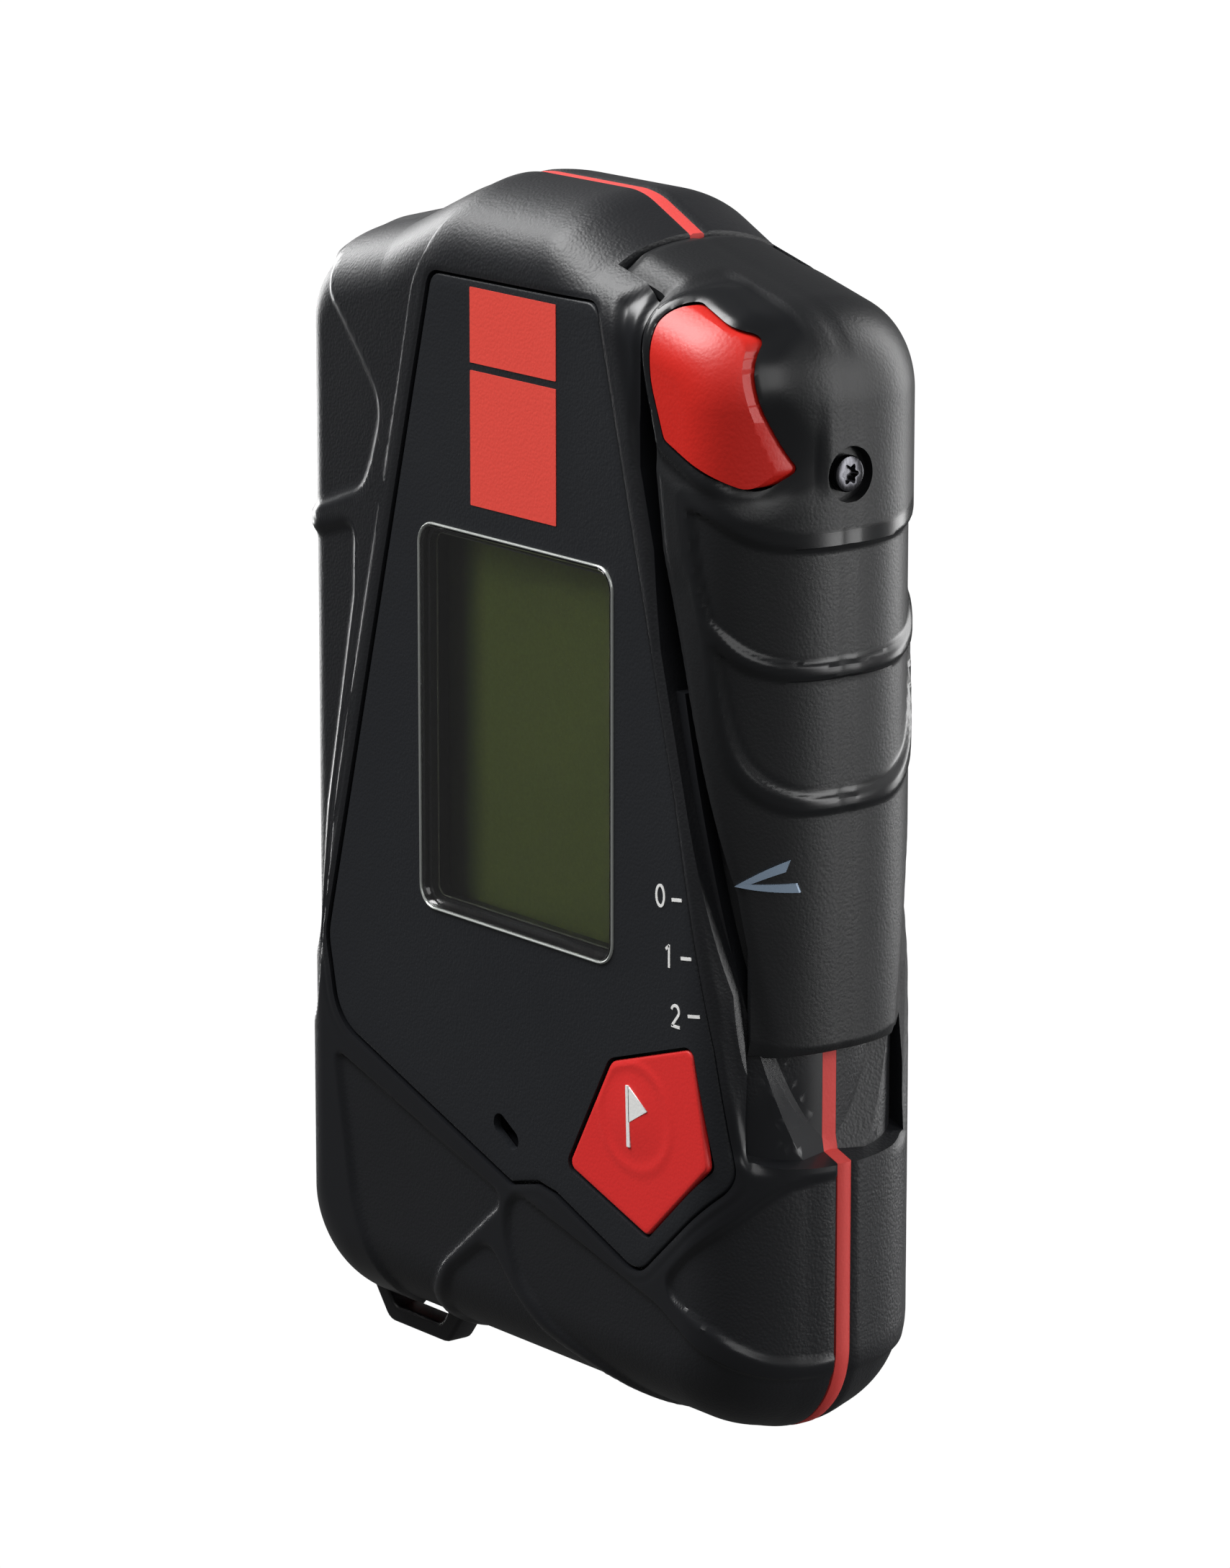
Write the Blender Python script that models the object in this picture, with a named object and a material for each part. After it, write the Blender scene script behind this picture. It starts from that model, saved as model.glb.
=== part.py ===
"""Avalanche transceiver: a hand-held rescue beacon with a display, a flag key and a sliding mode switch.

Upright, +X to the right of the display, the display facing -Y, +Z up. All sizes are in millimetres and
become metres when a mesh is made. The seam between the two half shells lies in the plane y = 0.
"""

from math import cos, hypot, pi, sin, tan

import bmesh
import bpy
from mathutils import Matrix, Vector

MM = 0.001

# Overall size.
HALF_WIDTH = 34.6
HALF_DEPTH = 12.0
BODY_BOTTOM = -55.4
BODY_TOP = 55.5
EYE_BOTTOM = -57.9
LIFT = -(BODY_TOP + EYE_BOTTOM) / 2  # puts the origin at the middle of the whole object's box

# Fits and walls.
GAP = 0.3
WALL = 2.0
SEAM_HALF = 0.8
SEAL_HALF = 0.5
WELD_DISTANCE = 1e-6  # metres
ROUNDNESS = 2.2  # exponent of the edge curve: 2 is an ellipse

# Mode switch.
TRAVEL = 9.2
SLIDER_BOTTOM = -18.2
SLIDER_WALL = 1.6
CORE_RIGHT = 32.2
CORE_HALF_DEPTH = 9.2
CORE_DRAW = 6.5
CORE_FACE_RIGHT = CORE_RIGHT - CORE_DRAW
RECESS_BOTTOM = SLIDER_BOTTOM - TRAVEL - 0.6
RUNNER_HALF = 2.7
RUNNER_BOTTOM = 4.0
RUNNER_TOP = 37.0
SWITCH_SCREW_Z = 33.8
LOCK_TRAVEL = 0.8
LOCK_HOLE_END = -4.0  # how far back the lock button's hole reaches

# Front panel stack, distances in front of the seam plane.
PANEL_FRONT = 11.75
PANEL_THICK = 0.8
RECESS_FLOOR = 10.5
CAVITY_HALF = 9.6

# Display window.
WINDOW_X = (-13.1, 16.0)
WINDOW_Z = (-12.7, 23.9)
WINDOW_RADIUS = 2.2

# Battery.
CELL_X = -6.0
CELL_Y = 2.95
CELL_RADIUS = 7.25
CELL_Z = (-42.0, 8.5)
DOOR_X = (-14.6, 2.6)
DOOR_Z = (-46.5, 18.0)
DOOR_INNER = 10.5
DOOR_SCREW = (CELL_X, 0.0, 14.6)
CELL_OPENING_TOP = 11.0

# Flag key.
KEY_CENTRE = (18.9, 0.0, -26.0)
STEM_RADIUS = 2.0

# Corners of the seam outline, anticlockwise from the lower left: x, z, radius, and how far the next edge
# draws in from the seam to the front face.
OUTLINE = [
    (-HALF_WIDTH, BODY_BOTTOM, 9.5, 9.0),
    (HALF_WIDTH, BODY_BOTTOM, 9.5, 8.5),
    (HALF_WIDTH, 47.0, 9.0, 7.0),
    (13.1, 52.4, 1.5, 7.0),
    (6.5, BODY_TOP, 9.0, 7.5),
    (-10.5, BODY_TOP, 14.0, 7.5),
    (-21.0, 50.9, 2.0, 7.5),
    (-HALF_WIDTH, 47.6, 8.0, 6.0),
]
# What stays of the body inside the mode switch; its far edges lie outside the body.
CORE_OUTLINE = [
    (-60.0, -75.0, 1.0, 0.0),
    (CORE_RIGHT, -75.0, 1.0, CORE_DRAW),
    (CORE_RIGHT, 35.4, 8.0, 5.0),
    (13.0, 40.2, 0.8, 0.0),
    (13.0, 75.0, 1.0, 0.0),
    (-60.0, 75.0, 1.0, 0.0),
]
CORE_CAVITY_OUTLINE = [
    (-32.4, -53.2, 8.0, 7.0),
    (28.2, -53.2, 8.0, 6.0),
    (28.2, 32.2, 6.0, 5.0),
    (10.0, 37.4, 4.0, 5.0),
    (-32.4, 37.4, 4.0, 5.0),
]
# Left edge of the mode switch, top to bottom.
SLIDER_EDGE = [(19.3, 46.5), (19.7, 42.7), (21.6, 35.6), (22.9, 26.8), (30.9, -3.2), (32.6, -16.6)]

PANEL_CORNERS = [
    (-10.9, 47.0, 1.5),
    (-27.9, -18.4, 5.0),
    (-26.2, -26.4, 5.0),
    (0.7, -36.2, 1.0),
    (4.7, -35.2, 1.0),
    (7.4, -35.6, 1.0),
    (19.5, -40.4, 3.0),
    (31.2, -29.6, 3.0),
    (29.4, -17.6, 9.0),
    (24.6, 4.6, 9.0),
    (13.4, 47.2, 1.5),
]
KEY_CORNERS = [(15.5, -21.4, 1.6), (9.2, -32.6, 0.8), (20.7, -36.6, 0.8), (29.3, -28.4, 0.8), (27.0, -17.8, 0.8)]
LOCK_CORNERS = [
    (21.0, 48.7, 1.8),
    (21.5, 41.5, 8.0),
    (23.4, 36.6, 1.0),
    (32.0, 32.9, 1.0),
    (33.2, 34.6, 0.8),
    (31.6, 41.0, 8.0),
    (31.6, 46.0, 1.2),
]

COLOURS = {
    "charcoal": ((0.022, 0.022, 0.025), 0.48, 0.0),
    "switch_charcoal": ((0.026, 0.026, 0.029), 0.45, 0.0),
    "panel_charcoal": ((0.020, 0.021, 0.025), 0.55, 0.0),
    "signal_red": ((0.62, 0.055, 0.030), 0.45, 0.0),
    "seal_red": ((0.55, 0.090, 0.075), 0.60, 0.0),
    "olive_glass": ((0.060, 0.075, 0.022), 0.20, 0.0),
    "clear": ((0.80, 0.82, 0.84), 0.05, 0.0),
    "diffuser": ((0.75, 0.76, 0.72), 0.50, 0.0),
    "steel": ((0.55, 0.55, 0.57), 0.30, 1.0),
    "dark_steel": ((0.16, 0.16, 0.17), 0.35, 1.0),
    "board_green": ((0.02, 0.10, 0.04), 0.50, 0.0),
    "chip_black": ((0.015, 0.015, 0.016), 0.40, 0.0),
    "ferrite": ((0.05, 0.05, 0.055), 0.60, 0.0),
    "copper": ((0.72, 0.32, 0.16), 0.30, 1.0),
    "cell_sleeve": ((0.10, 0.12, 0.16), 0.35, 0.0),
    "silver_ink": ((0.62, 0.68, 0.74), 0.35, 0.0),
    "dark_moulding": ((0.012, 0.012, 0.013), 0.60, 0.0),
}


def clear_scene():
    for item in list(bpy.data.objects):
        bpy.data.objects.remove(item, do_unlink=True)


def material(name):
    found = bpy.data.materials.get(name)
    if found:
        return found
    colour, roughness, metallic = COLOURS[name]
    made = bpy.data.materials.new(name)
    made.use_nodes = True
    shader = made.node_tree.nodes["Principled BSDF"]
    shader.inputs["Base Color"].default_value = (*colour, 1.0)
    shader.inputs["Roughness"].default_value = roughness
    shader.inputs["Metallic"].default_value = metallic
    return made


# ---------------------------------------------------------------- outlines


def offset_corners(corners, wall, depth_share):
    """The outline drawn in by the wall and by a share of each edge's own draw: (x, z, radius) per corner."""
    count = len(corners)
    normals, shifts = [], []
    for i, (x, z, _, draw) in enumerate(corners):
        nx, nz, _, _ = corners[(i + 1) % count]
        length = hypot(nx - x, nz - z)
        normals.append((-(nz - z) / length, (nx - x) / length))
        shifts.append(wall + depth_share * draw)
    moved = []
    for i, (x, z, radius, _) in enumerate(corners):
        (ax, az), (bx, bz) = normals[i - 1], normals[i]
        sa, sb = shifts[i - 1], shifts[i]
        cross = ax * bz - az * bx
        mx = (sa * bz - sb * az) / cross
        mz = (sb * ax - sa * bx) / cross
        drawn = (sa + sb) / 2
        rounded = max(radius - 0.75 * drawn, 0.8) if cross > 0 else radius + 0.5 * drawn
        moved.append((x + mx, z + mz, rounded))
    return moved


def rounded(corners, steps=6):
    """Points of a closed outline whose corners (x, z, radius) are arcs."""
    points = []
    count = len(corners)
    for i, (x, z, radius) in enumerate(corners):
        here = Vector((x, z))
        before = (Vector(corners[i - 1][:2]) - here).normalized()
        after = (Vector(corners[(i + 1) % count][:2]) - here).normalized()
        half = before.angle(after) / 2
        reach = radius / tan(half)
        centre = here + (before + after).normalized() * radius / sin(half)
        start, end = here + before * reach - centre, here + after * reach - centre
        turn = start.angle_signed(end)
        for k in range(steps + 1):
            arm = Matrix.Rotation(-turn * k / steps, 2) @ start
            points.append((centre.x + arm.x, centre.y + arm.y))
    return points


def rectangle(x0, x1, z0, z1, radius):
    return rounded([(x0, z0, radius), (x1, z0, radius), (x1, z1, radius), (x0, z1, radius)], 4)


def grown(corners, margin):
    """Corners (x, z, radius) of an outline moved outwards by a margin; either winding."""
    area = sum(
        a[0] * b[1] - b[0] * a[1] for a, b in zip(corners, corners[1:] + corners[:1], strict=True)
    )
    way = -margin if area > 0 else margin
    loose = [(x, z, 0.0, 0.0) for x, z, _ in corners]
    moved = offset_corners(loose, way, 0.0)
    return [(mx, mz, r + 0.5 * max(margin, 0)) for (mx, mz, _), (_, _, r) in zip(moved, corners, strict=True)]


# ---------------------------------------------------------------- solids


def new_object(name, mesh_builder, colour, smooth=True):
    mesh = bpy.data.meshes.new(name)
    bmesh.ops.scale(mesh_builder, vec=(MM, MM, MM), verts=mesh_builder.verts)
    bmesh.ops.recalc_face_normals(mesh_builder, faces=mesh_builder.faces)
    mesh_builder.to_mesh(mesh)
    mesh_builder.free()
    if smooth:
        mesh.shade_smooth()
        mesh.set_sharp_from_angle(angle=pi / 6)
    made = bpy.data.objects.new(name, mesh)
    made.data.materials.append(material(colour))
    bpy.context.scene.collection.objects.link(made)
    return made


def loft(name, rings, colour="charcoal"):
    """A closed solid through rings of equal point counts: each ring is (points, y)."""
    mesh_builder = bmesh.new()
    made = [[mesh_builder.verts.new((x, y, z)) for x, z in points] for points, y in rings]
    for low, high in zip(made, made[1:], strict=False):
        for i in range(len(low)):
            j = (i + 1) % len(low)
            mesh_builder.faces.new((low[i], low[j], high[j], high[i]))
    mesh_builder.faces.new(made[0])
    mesh_builder.faces.new(made[-1])
    return new_object(name, mesh_builder, colour)


def prism(name, points, y0, y1, colour="charcoal"):
    return loft(name, [(points, y0), (points, y1)], colour)


def edge_profile(half_depth, first, steps=7):
    """(share of the draw, distance from the seam) from the seam to the flat face."""
    found = [(0.0, first)]
    for k in range(1, steps + 1):
        angle = pi / 2 * k / steps
        out = sin(angle) ** (2 / ROUNDNESS) * half_depth
        if out > first + 0.4:
            found.append((1 - cos(angle) ** (2 / ROUNDNESS) if k < steps else 1.0, out))
    return found


def half_body(name, corners, wall, half_depth, side, first):
    """One half of the body: side is -1 for the front and 1 for the rear."""
    rings = [
        (rounded(offset_corners(corners, wall, share)), side * out)
        for share, out in edge_profile(half_depth, first)
    ]
    return loft(name, rings)


def whole_body(name, corners, wall, half_depth, colour="charcoal"):
    shares = edge_profile(half_depth, 0.0)
    rings = [(rounded(offset_corners(corners, wall, s)), -out) for s, out in reversed(shares)]
    rings += [(rounded(offset_corners(corners, wall, s)), out) for s, out in shares[1:]]
    return loft(name, rings, colour)


def box(name, x, y, z, colour="charcoal"):
    return prism(name, [(x[0], z[0]), (x[1], z[0]), (x[1], z[1]), (x[0], z[1])], y[0], y[1], colour)


AXES = {"X": Matrix.Rotation(pi / 2, 4, "Y"), "Y": Matrix.Rotation(-pi / 2, 4, "X"), "Z": Matrix.Identity(4)}


def turned(name, axis, centre, profile, colour, sides=20):
    """A turned solid: profile is (distance along the axis, radius) pairs round a closed half section."""
    mesh_builder = bmesh.new()
    closed_on_axis = profile[0][1] == 0
    ring_list = []
    for along, radius in profile:
        if radius == 0:
            ring_list.append([mesh_builder.verts.new((0, 0, along))])
        else:
            ring_list.append(
                [
                    mesh_builder.verts.new(
                        (radius * cos(2 * pi * k / sides), radius * sin(2 * pi * k / sides), along)
                    )
                    for k in range(sides)
                ]
            )
    pairs = list(zip(ring_list, ring_list[1:], strict=False))
    if not closed_on_axis:
        pairs.append((ring_list[-1], ring_list[0]))
    for low, high in pairs:
        for k in range(sides):
            n = (k + 1) % sides
            corner = [low[k % len(low)], low[n % len(low)], high[n % len(high)], high[k % len(high)]]
            mesh_builder.faces.new(list(dict.fromkeys(corner)))
    place = Matrix.Translation(centre) @ AXES[axis]
    bmesh.ops.transform(mesh_builder, matrix=place, verts=mesh_builder.verts)
    return new_object(name, mesh_builder, colour)


def rod(name, axis, centre, radius, start, end, colour, sides=20):
    return turned(name, axis, centre, [(start, 0), (start, radius), (end, radius), (end, 0)], colour, sides)


def tube(name, axis, centre, inner, outer, start, end, colour, sides=20):
    profile = [(start, inner), (start, outer), (end, outer), (end, inner)]
    return turned(name, axis, centre, profile, colour, sides)


def weld(mesh):
    """Closes the hair-thin slivers that a Boolean can leave, and splits its many-sided faces into triangles."""
    mesh_builder = bmesh.new()
    mesh_builder.from_mesh(mesh)
    bmesh.ops.remove_doubles(mesh_builder, verts=mesh_builder.verts, dist=WELD_DISTANCE)
    bmesh.ops.dissolve_degenerate(mesh_builder, edges=mesh_builder.edges, dist=WELD_DISTANCE)
    many_sided = [face for face in mesh_builder.faces if len(face.verts) > 4]
    bmesh.ops.triangulate(mesh_builder, faces=many_sided)
    mesh_builder.to_mesh(mesh)
    mesh_builder.free()


def apply_boolean(target, cutter, operation="DIFFERENCE", keep=False):
    step = target.modifiers.new(cutter.name, "BOOLEAN")
    step.operation = operation
    step.object = cutter
    step.solver = "EXACT"
    with bpy.context.temp_override(object=target, active_object=target, selected_objects=[target]):
        bpy.ops.object.modifier_apply(modifier=step.name)
    weld(target.data)
    if not keep:
        bpy.data.objects.remove(cutter, do_unlink=True)
    return target


def cut(target, *cutters):
    for cutter in cutters:
        apply_boolean(target, cutter)
    return target


def cut_keeping(target, *cutters):
    for cutter in cutters:
        apply_boolean(target, cutter, keep=True)
    return target


def join(target, *others):
    for other in others:
        apply_boolean(target, other, "UNION")
    return target


# ---------------------------------------------------------------- mode switch space


def swept_edge(margin):
    """Left edge of the room that the mode switch needs on the faces, over its whole travel."""
    return [(x - margin, z - TRAVEL) for x, z in SLIDER_EDGE]


def track_cutter():
    """All the room round the core that the mode switch sweeps."""
    edge = swept_edge(GAP)
    face_zone = [(edge[0][0], 75.0), *edge, (edge[-1][0], RECESS_BOTTOM), (60.0, RECESS_BOTTOM), (60.0, 75.0)]
    middle = [(13.0, RECESS_BOTTOM), (60.0, RECESS_BOTTOM), (60.0, 75.0), (13.0, 75.0)]
    overlap = 0.4
    cutter = prism("track_cutter", face_zone, -20.0, -CORE_HALF_DEPTH + overlap)
    join(
        cutter,
        prism("track_rear", face_zone, CORE_HALF_DEPTH - overlap, 20.0),
        prism("track_middle", middle, -CORE_HALF_DEPTH, CORE_HALF_DEPTH),
    )
    cut(cutter, whole_body("core", CORE_OUTLINE, 0.0, CORE_HALF_DEPTH))
    groove = box(
        "runner_groove",
        (CORE_RIGHT - 2.1, 60.0),
        (-RUNNER_HALF - GAP, RUNNER_HALF + GAP),
        (RUNNER_BOTTOM - TRAVEL - GAP, RUNNER_TOP + GAP),
    )
    return join(cutter, groove)


def body_cavity():
    """The inside of the body: full depth left of the mode switch, and the core inside it."""
    made = whole_body("body_cavity", OUTLINE, WALL, CAVITY_HALF)
    edge = swept_edge(GAP + WALL)
    edge = [(min(x, CORE_FACE_RIGHT - WALL), z) for x, z in edge[1:]]
    beyond = [(10.8, 75.0), (10.8, SLIDER_EDGE[0][1] - TRAVEL + WALL), *edge, (edge[-1][0], -75.0), (60.0, -75.0), (60.0, 75.0)]
    cut(made, prism("beyond", beyond, -20.0, 20.0))
    join(made, whole_body("core_cavity", CORE_CAVITY_OUTLINE, 0.0, CORE_HALF_DEPTH - WALL))
    corner = [(-60.0, -75.0), (-13.0, -75.0), (-13.0, -49.5), (-60.0, -49.5)]
    return cut(made, prism("eye_corner", corner, -20.0, 20.0))


BOSSES = [(-26.5, 37.0), (-26.5, -44.0), (20.0, -45.0), (3.0, 44.5)]
BOSS_RADIUS = 3.0
BOSS_BORE = 1.4
EYE_Y = (-5.4, -2.6)
NOTCH = [(-29.6, -60.0), (-29.6, -51.6), (-16.4, -51.6), (-16.4, -60.0)]
NOTCH_Y = (-6.6, 6.6)


def eye_outline(margin=0.0):
    corners = [
        (-31.0, -48.8, 0.6),
        (-31.0, -53.2, 1.5),
        (-27.4, EYE_BOTTOM, 1.5),
        (-17.9, EYE_BOTTOM, 1.5),
        (-14.6, -53.6, 1.5),
        (-14.6, -50.6, 0.6),
        (-16.9, -50.6, 0.4),
        (-16.9, -53.2, 1.0),
        (-19.0, -56.2, 1.0),
        (-26.4, -56.2, 1.0),
        (-28.7, -53.0, 1.0),
        (-28.7, -48.8, 0.4),
    ]
    return rounded(grown(corners, margin) if margin else corners, 3)


# ---------------------------------------------------------------- half shells


def bosses(side):
    reach = CAVITY_HALF + 0.5
    made = []
    for i, (x, z) in enumerate(BOSSES):
        low, high = sorted((side * (SEAM_HALF + 0.4), side * reach))
        made.append(rod(f"boss_{i}", "Y", (x, 0, z), BOSS_RADIUS, low, high, "charcoal"))
    return made


def boss_bores(side):
    made = []
    for i, (x, z) in enumerate(BOSSES):
        if side < 0:
            profile = [(-7.0, 0), (-7.0, BOSS_BORE), (0.0, BOSS_BORE), (0.0, 0)]
        else:
            profile = [(0.0, 0), (0.0, BOSS_BORE), (10.3, BOSS_BORE), (10.3, 2.6), (20.0, 2.6), (20.0, 0)]
        made.append(turned(f"bore_{i}", "Y", (x, 0, z), profile, "charcoal"))
    return made


def window_outline(margin):
    (x0, x1), (z0, z1) = WINDOW_X, WINDOW_Z
    return rectangle(x0 - margin, x1 + margin, z0 - margin, z1 + margin, WINDOW_RADIUS)


def slot_outline(margin=0.0):
    half, radius, tilt = 1.1, 0.95 + margin, -0.55
    points = []
    for end, start in ((1, -pi / 2), (-1, pi / 2)):
        for k in range(7):
            angle = start + pi * k / 6
            x, z = end * half + radius * cos(angle), radius * sin(angle)
            points.append((-0.1 + x * cos(tilt) - z * sin(tilt), -31.6 + x * sin(tilt) + z * cos(tilt)))
    return points


def panel_recess():
    """The seat of the front panel: its floor follows the body's surface, which falls away at the right."""
    seat = prism("panel_recess", rounded(grown(PANEL_CORNERS, GAP), 4), -20.0, -7.0)
    return cut(seat, whole_body("recess_floor", OUTLINE, HALF_DEPTH - RECESS_FLOOR, RECESS_FLOOR))


def build_shells(track, cavity):
    front = half_body("front_shell", OUTLINE, 0.0, HALF_DEPTH, -1, SEAM_HALF)
    rear = half_body("rear_shell", OUTLINE, 0.0, HALF_DEPTH, 1, SEAM_HALF)
    for shell, side in ((front, -1), (rear, 1)):
        cut_keeping(shell, cavity, track)
        join(shell, *bosses(side))
        cut(shell, *boss_bores(side), prism("notch", NOTCH, *NOTCH_Y))
    cut(front, prism("eye_pocket", eye_outline(GAP), EYE_Y[0] - GAP, 1.0))
    cut(
        front,
        panel_recess(),
        prism("window_opening", window_outline(-1.2), -20.0, -5.0),
        prism("slot_opening", slot_outline(0.3), -20.0, -5.0),
        rod("stem_hole", "Y", KEY_CENTRE, STEM_RADIUS + GAP, -20.0, -5.0, "charcoal"),
    )
    cut(
        rear,
        prism("door_seat", rectangle(*DOOR_X, *DOOR_Z, 2.0), DOOR_INNER - GAP, 20.0),
        prism("cell_opening", rectangle(*DOOR_X, DOOR_Z[0], CELL_OPENING_TOP, 2.0), 5.0, 20.0),
    )
    join(rear, rod("door_boss", "Y", DOOR_SCREW, BOSS_RADIUS, 6.0, DOOR_INNER - GAP - 0.1, "charcoal"))
    cut(rear, rod("door_boss_bore", "Y", DOOR_SCREW, BOSS_BORE, 5.0, 20.0, "charcoal"))
    return front, rear


def build_seal(track, cavity):
    """The red gasket between the shells, cut to their wall."""
    points = rounded(offset_corners(OUTLINE, 0.1, 0.0))
    seal = prism("perimeter_seal", points, -SEAL_HALF, SEAL_HALF, "seal_red")
    cut_keeping(seal, cavity, track)
    return cut(seal, prism("notch", NOTCH, *NOTCH_Y))


def build_eye():
    return prism("lanyard_eye", eye_outline(), *EYE_Y, "dark_moulding")


# ---------------------------------------------------------------- front panel and display


def build_panel():
    inset = HALF_DEPTH - PANEL_FRONT
    panel = prism("front_panel", rounded(PANEL_CORNERS, 4), -20.0, -8.0, "panel_charcoal")
    apply_boolean(panel, whole_body("panel_face", OUTLINE, inset, PANEL_FRONT), "INTERSECT")
    cut(panel, whole_body("panel_underside", OUTLINE, inset + PANEL_THICK, PANEL_FRONT - PANEL_THICK))
    return cut(
        panel,
        prism("window_hole", window_outline(0.0), -20.0, -5.0),
        prism("slot_hole", slot_outline(), -20.0, -5.0),
        prism("key_hole", rounded(grown(KEY_CORNERS, GAP), 3), -20.0, -5.0),
    )


def build_display():
    lens = prism("display_window", window_outline(-GAP), -11.9, -10.8, "clear")
    (x0, x1), (z0, z1) = WINDOW_X, WINDOW_Z
    outer = rectangle(x0 - 1.5, x1 + 1.5, z0 - 1.5, z1 + 1.5, 1.0)
    inner = rectangle(x0 + 1.6, x1 - 1.6, z0 + 1.6, z1 - 1.6, 0.6)
    bezel = prism("display_bezel", outer, -9.3, -8.6, "dark_moulding")
    cut(bezel, prism("bezel_hole", inner, -20.0, -5.0))
    box("lcd_glass", (x0 - 0.5, x1 + 0.5), (-8.3, -7.3), (z0 - 1.0, z1 + 1.0), "olive_glass")
    box("lcd_backlight", (x0, x1), (-7.0, -6.2), (z0 - 0.5, z1 + 0.5), "diffuser")
    return lens, bezel


def build_flag_key():
    """The flag key: a five-sided cap on a stem, above its snap dome and switch."""
    cap = prism("flag_button", rounded(KEY_CORNERS, 3), -PANEL_FRONT, -11.0, "signal_red")
    join(cap, rod("key_stem", "Y", KEY_CENTRE, STEM_RADIUS, -11.3, -8.8, "signal_red", 16))
    rod("key_dome", "Y", KEY_CENTRE, 3.0, -8.1, -7.5, "steel", 16)
    box("key_switch", (16.4, 21.4), (-7.2, -6.2), (-28.5, -23.5), "chip_black")
    return cap


# ---------------------------------------------------------------- electronics


def build_board():
    board = prism("main_board", rectangle(-28.0, 25.0, -40.0, 29.0, 2.0), -5.9, -4.7, "board_green")
    box("processor_chip", (-25.0, -17.0), (-4.4, -3.3), (10.0, 18.0), "chip_black")
    box("radio_chip", (6.0, 12.0), (-4.4, -3.4), (-2.0, 4.0), "chip_black")
    box("motion_sensor", (8.0, 11.0), (-4.4, -3.5), (14.0, 17.0), "chip_black")
    for number in range(3):
        z = 12.0 - number * TRAVEL / 2
        box(f"hall_sensor_{number + 1}", (22.0, 24.0), (-4.4, -3.3), (z - 1.0, z + 1.0), "chip_black")
    return board


ANTENNAS = [
    ("x", "X", (-11.5, 2.0, 42.6), 10.5, 7.0, 2.6),
    ("y", "Y", (16.0, 1.6, 24.0), 5.2, 3.6, 3.0),
    ("z", "Z", (-25.5, 2.0, -6.0), 30.0, 20.0, 2.6),
]


def build_antennas():
    for name, axis, centre, half, coil_half, radius in ANTENNAS:
        rod(f"antenna_rod_{name}", axis, centre, radius, -half, half, "ferrite", 16)
        inner, outer = radius + GAP, radius + GAP + 1.2
        tube(f"antenna_coil_{name}", axis, centre, inner, outer, -coil_half, coil_half, "copper", 16)


def build_buzzer():
    return rod("buzzer", "Y", (-0.1, 0, -31.6), 6.0, -9.3, -6.3, "chip_black", 24)


# ---------------------------------------------------------------- battery


def build_battery():
    centre = (CELL_X, CELL_Y, 0)
    low, high = CELL_Z
    profile = [(low, 0), (low, CELL_RADIUS - 0.6), (low + 0.5, CELL_RADIUS), (high - 1.6, CELL_RADIUS)]
    profile += [(high - 1.0, 2.75), (high, 2.75), (high, 0)]
    turned("battery_cell", "Z", centre, profile, "cell_sleeve", 24)
    plate_z = high + GAP
    across, deep = (CELL_X - 5.0, CELL_X + 5.0), (CELL_Y - 5.0, CELL_Y + 5.0)
    box("battery_plate", across, deep, (plate_z, plate_z + 0.8), "steel")
    spring_profile = [(low - GAP - 2.6, 4.0), (low - GAP - 2.6, 4.9), (low - GAP, 2.5), (low - GAP, 1.6)]
    turned("battery_spring", "Z", centre, spring_profile, "steel", 16)
    box("spring_plate", across, deep, (-46.0, -45.2), "steel")


def build_door():
    (x0, x1), (z0, z1) = DOOR_X, DOOR_Z
    outline = rectangle(x0 + GAP, x1 - GAP, z0 + GAP, z1 - GAP, 1.7)
    door = prism("battery_door", outline, DOOR_INNER, HALF_DEPTH, "charcoal")
    cut(door, rod("door_bore", "Y", DOOR_SCREW, 1.5, 5.0, 20.0, "charcoal"))
    cut(door, rod("door_counterbore", "Y", DOOR_SCREW, 3.0, 11.0, 20.0, "charcoal"))
    top = CELL_OPENING_TOP
    seal_outline = rectangle(x0 + 0.8, x1 - 0.8, z0 + 0.8, top - 0.8, 1.2)
    inner = rectangle(x0 + 2.0, x1 - 2.0, z0 + 2.0, top - 2.0, 1.0)
    seal = prism("door_seal", seal_outline, 9.4, 10.2, "dark_moulding")
    cut(seal, prism("door_seal_hole", inner, 5.0, 20.0))
    screw("door_screw", "Y", DOOR_SCREW, 11.2, 11.95, 2.7, 1.2, 6.6)
    return door, seal


# ---------------------------------------------------------------- screws


def screw(name, axis, place, seat, top, head, shank, tip):
    """A screw along an axis, its head between seat and top, with a hexagonal socket."""
    profile = [(tip, 0), (tip, shank), (seat, shank), (seat, head), (top, head), (top, 0)]
    if tip > seat:
        profile = [(a, r) for a, r in reversed(profile)]
    made = turned(name, axis, place, profile, "dark_steel", 16)
    low, high = sorted((seat + (top - seat) * 0.35, top + (top - seat)))
    socket = rod("socket", axis, place, head * 0.5, low, high, "dark_steel", 6)
    return cut(made, socket)


def build_shell_screws():
    for i, (x, z) in enumerate(BOSSES):
        screw(f"shell_screw_{i + 1}", "Y", (x, 0, z), 10.6, 11.9, 2.3, 1.1, -5.5)


# ---------------------------------------------------------------- mode switch


def slider_prism(name, y0, y1, left_top):
    """The switch's outline between two depths; left_top is where its upper left end stands."""
    points = [(left_top, 75.0), *[(max(x, left_top), z) for x, z in SLIDER_EDGE]]
    points += [(SLIDER_EDGE[-1][0], SLIDER_BOTTOM), (60.0, SLIDER_BOTTOM), (60.0, 75.0)]
    return prism(name, points, y0, y1)


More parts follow.
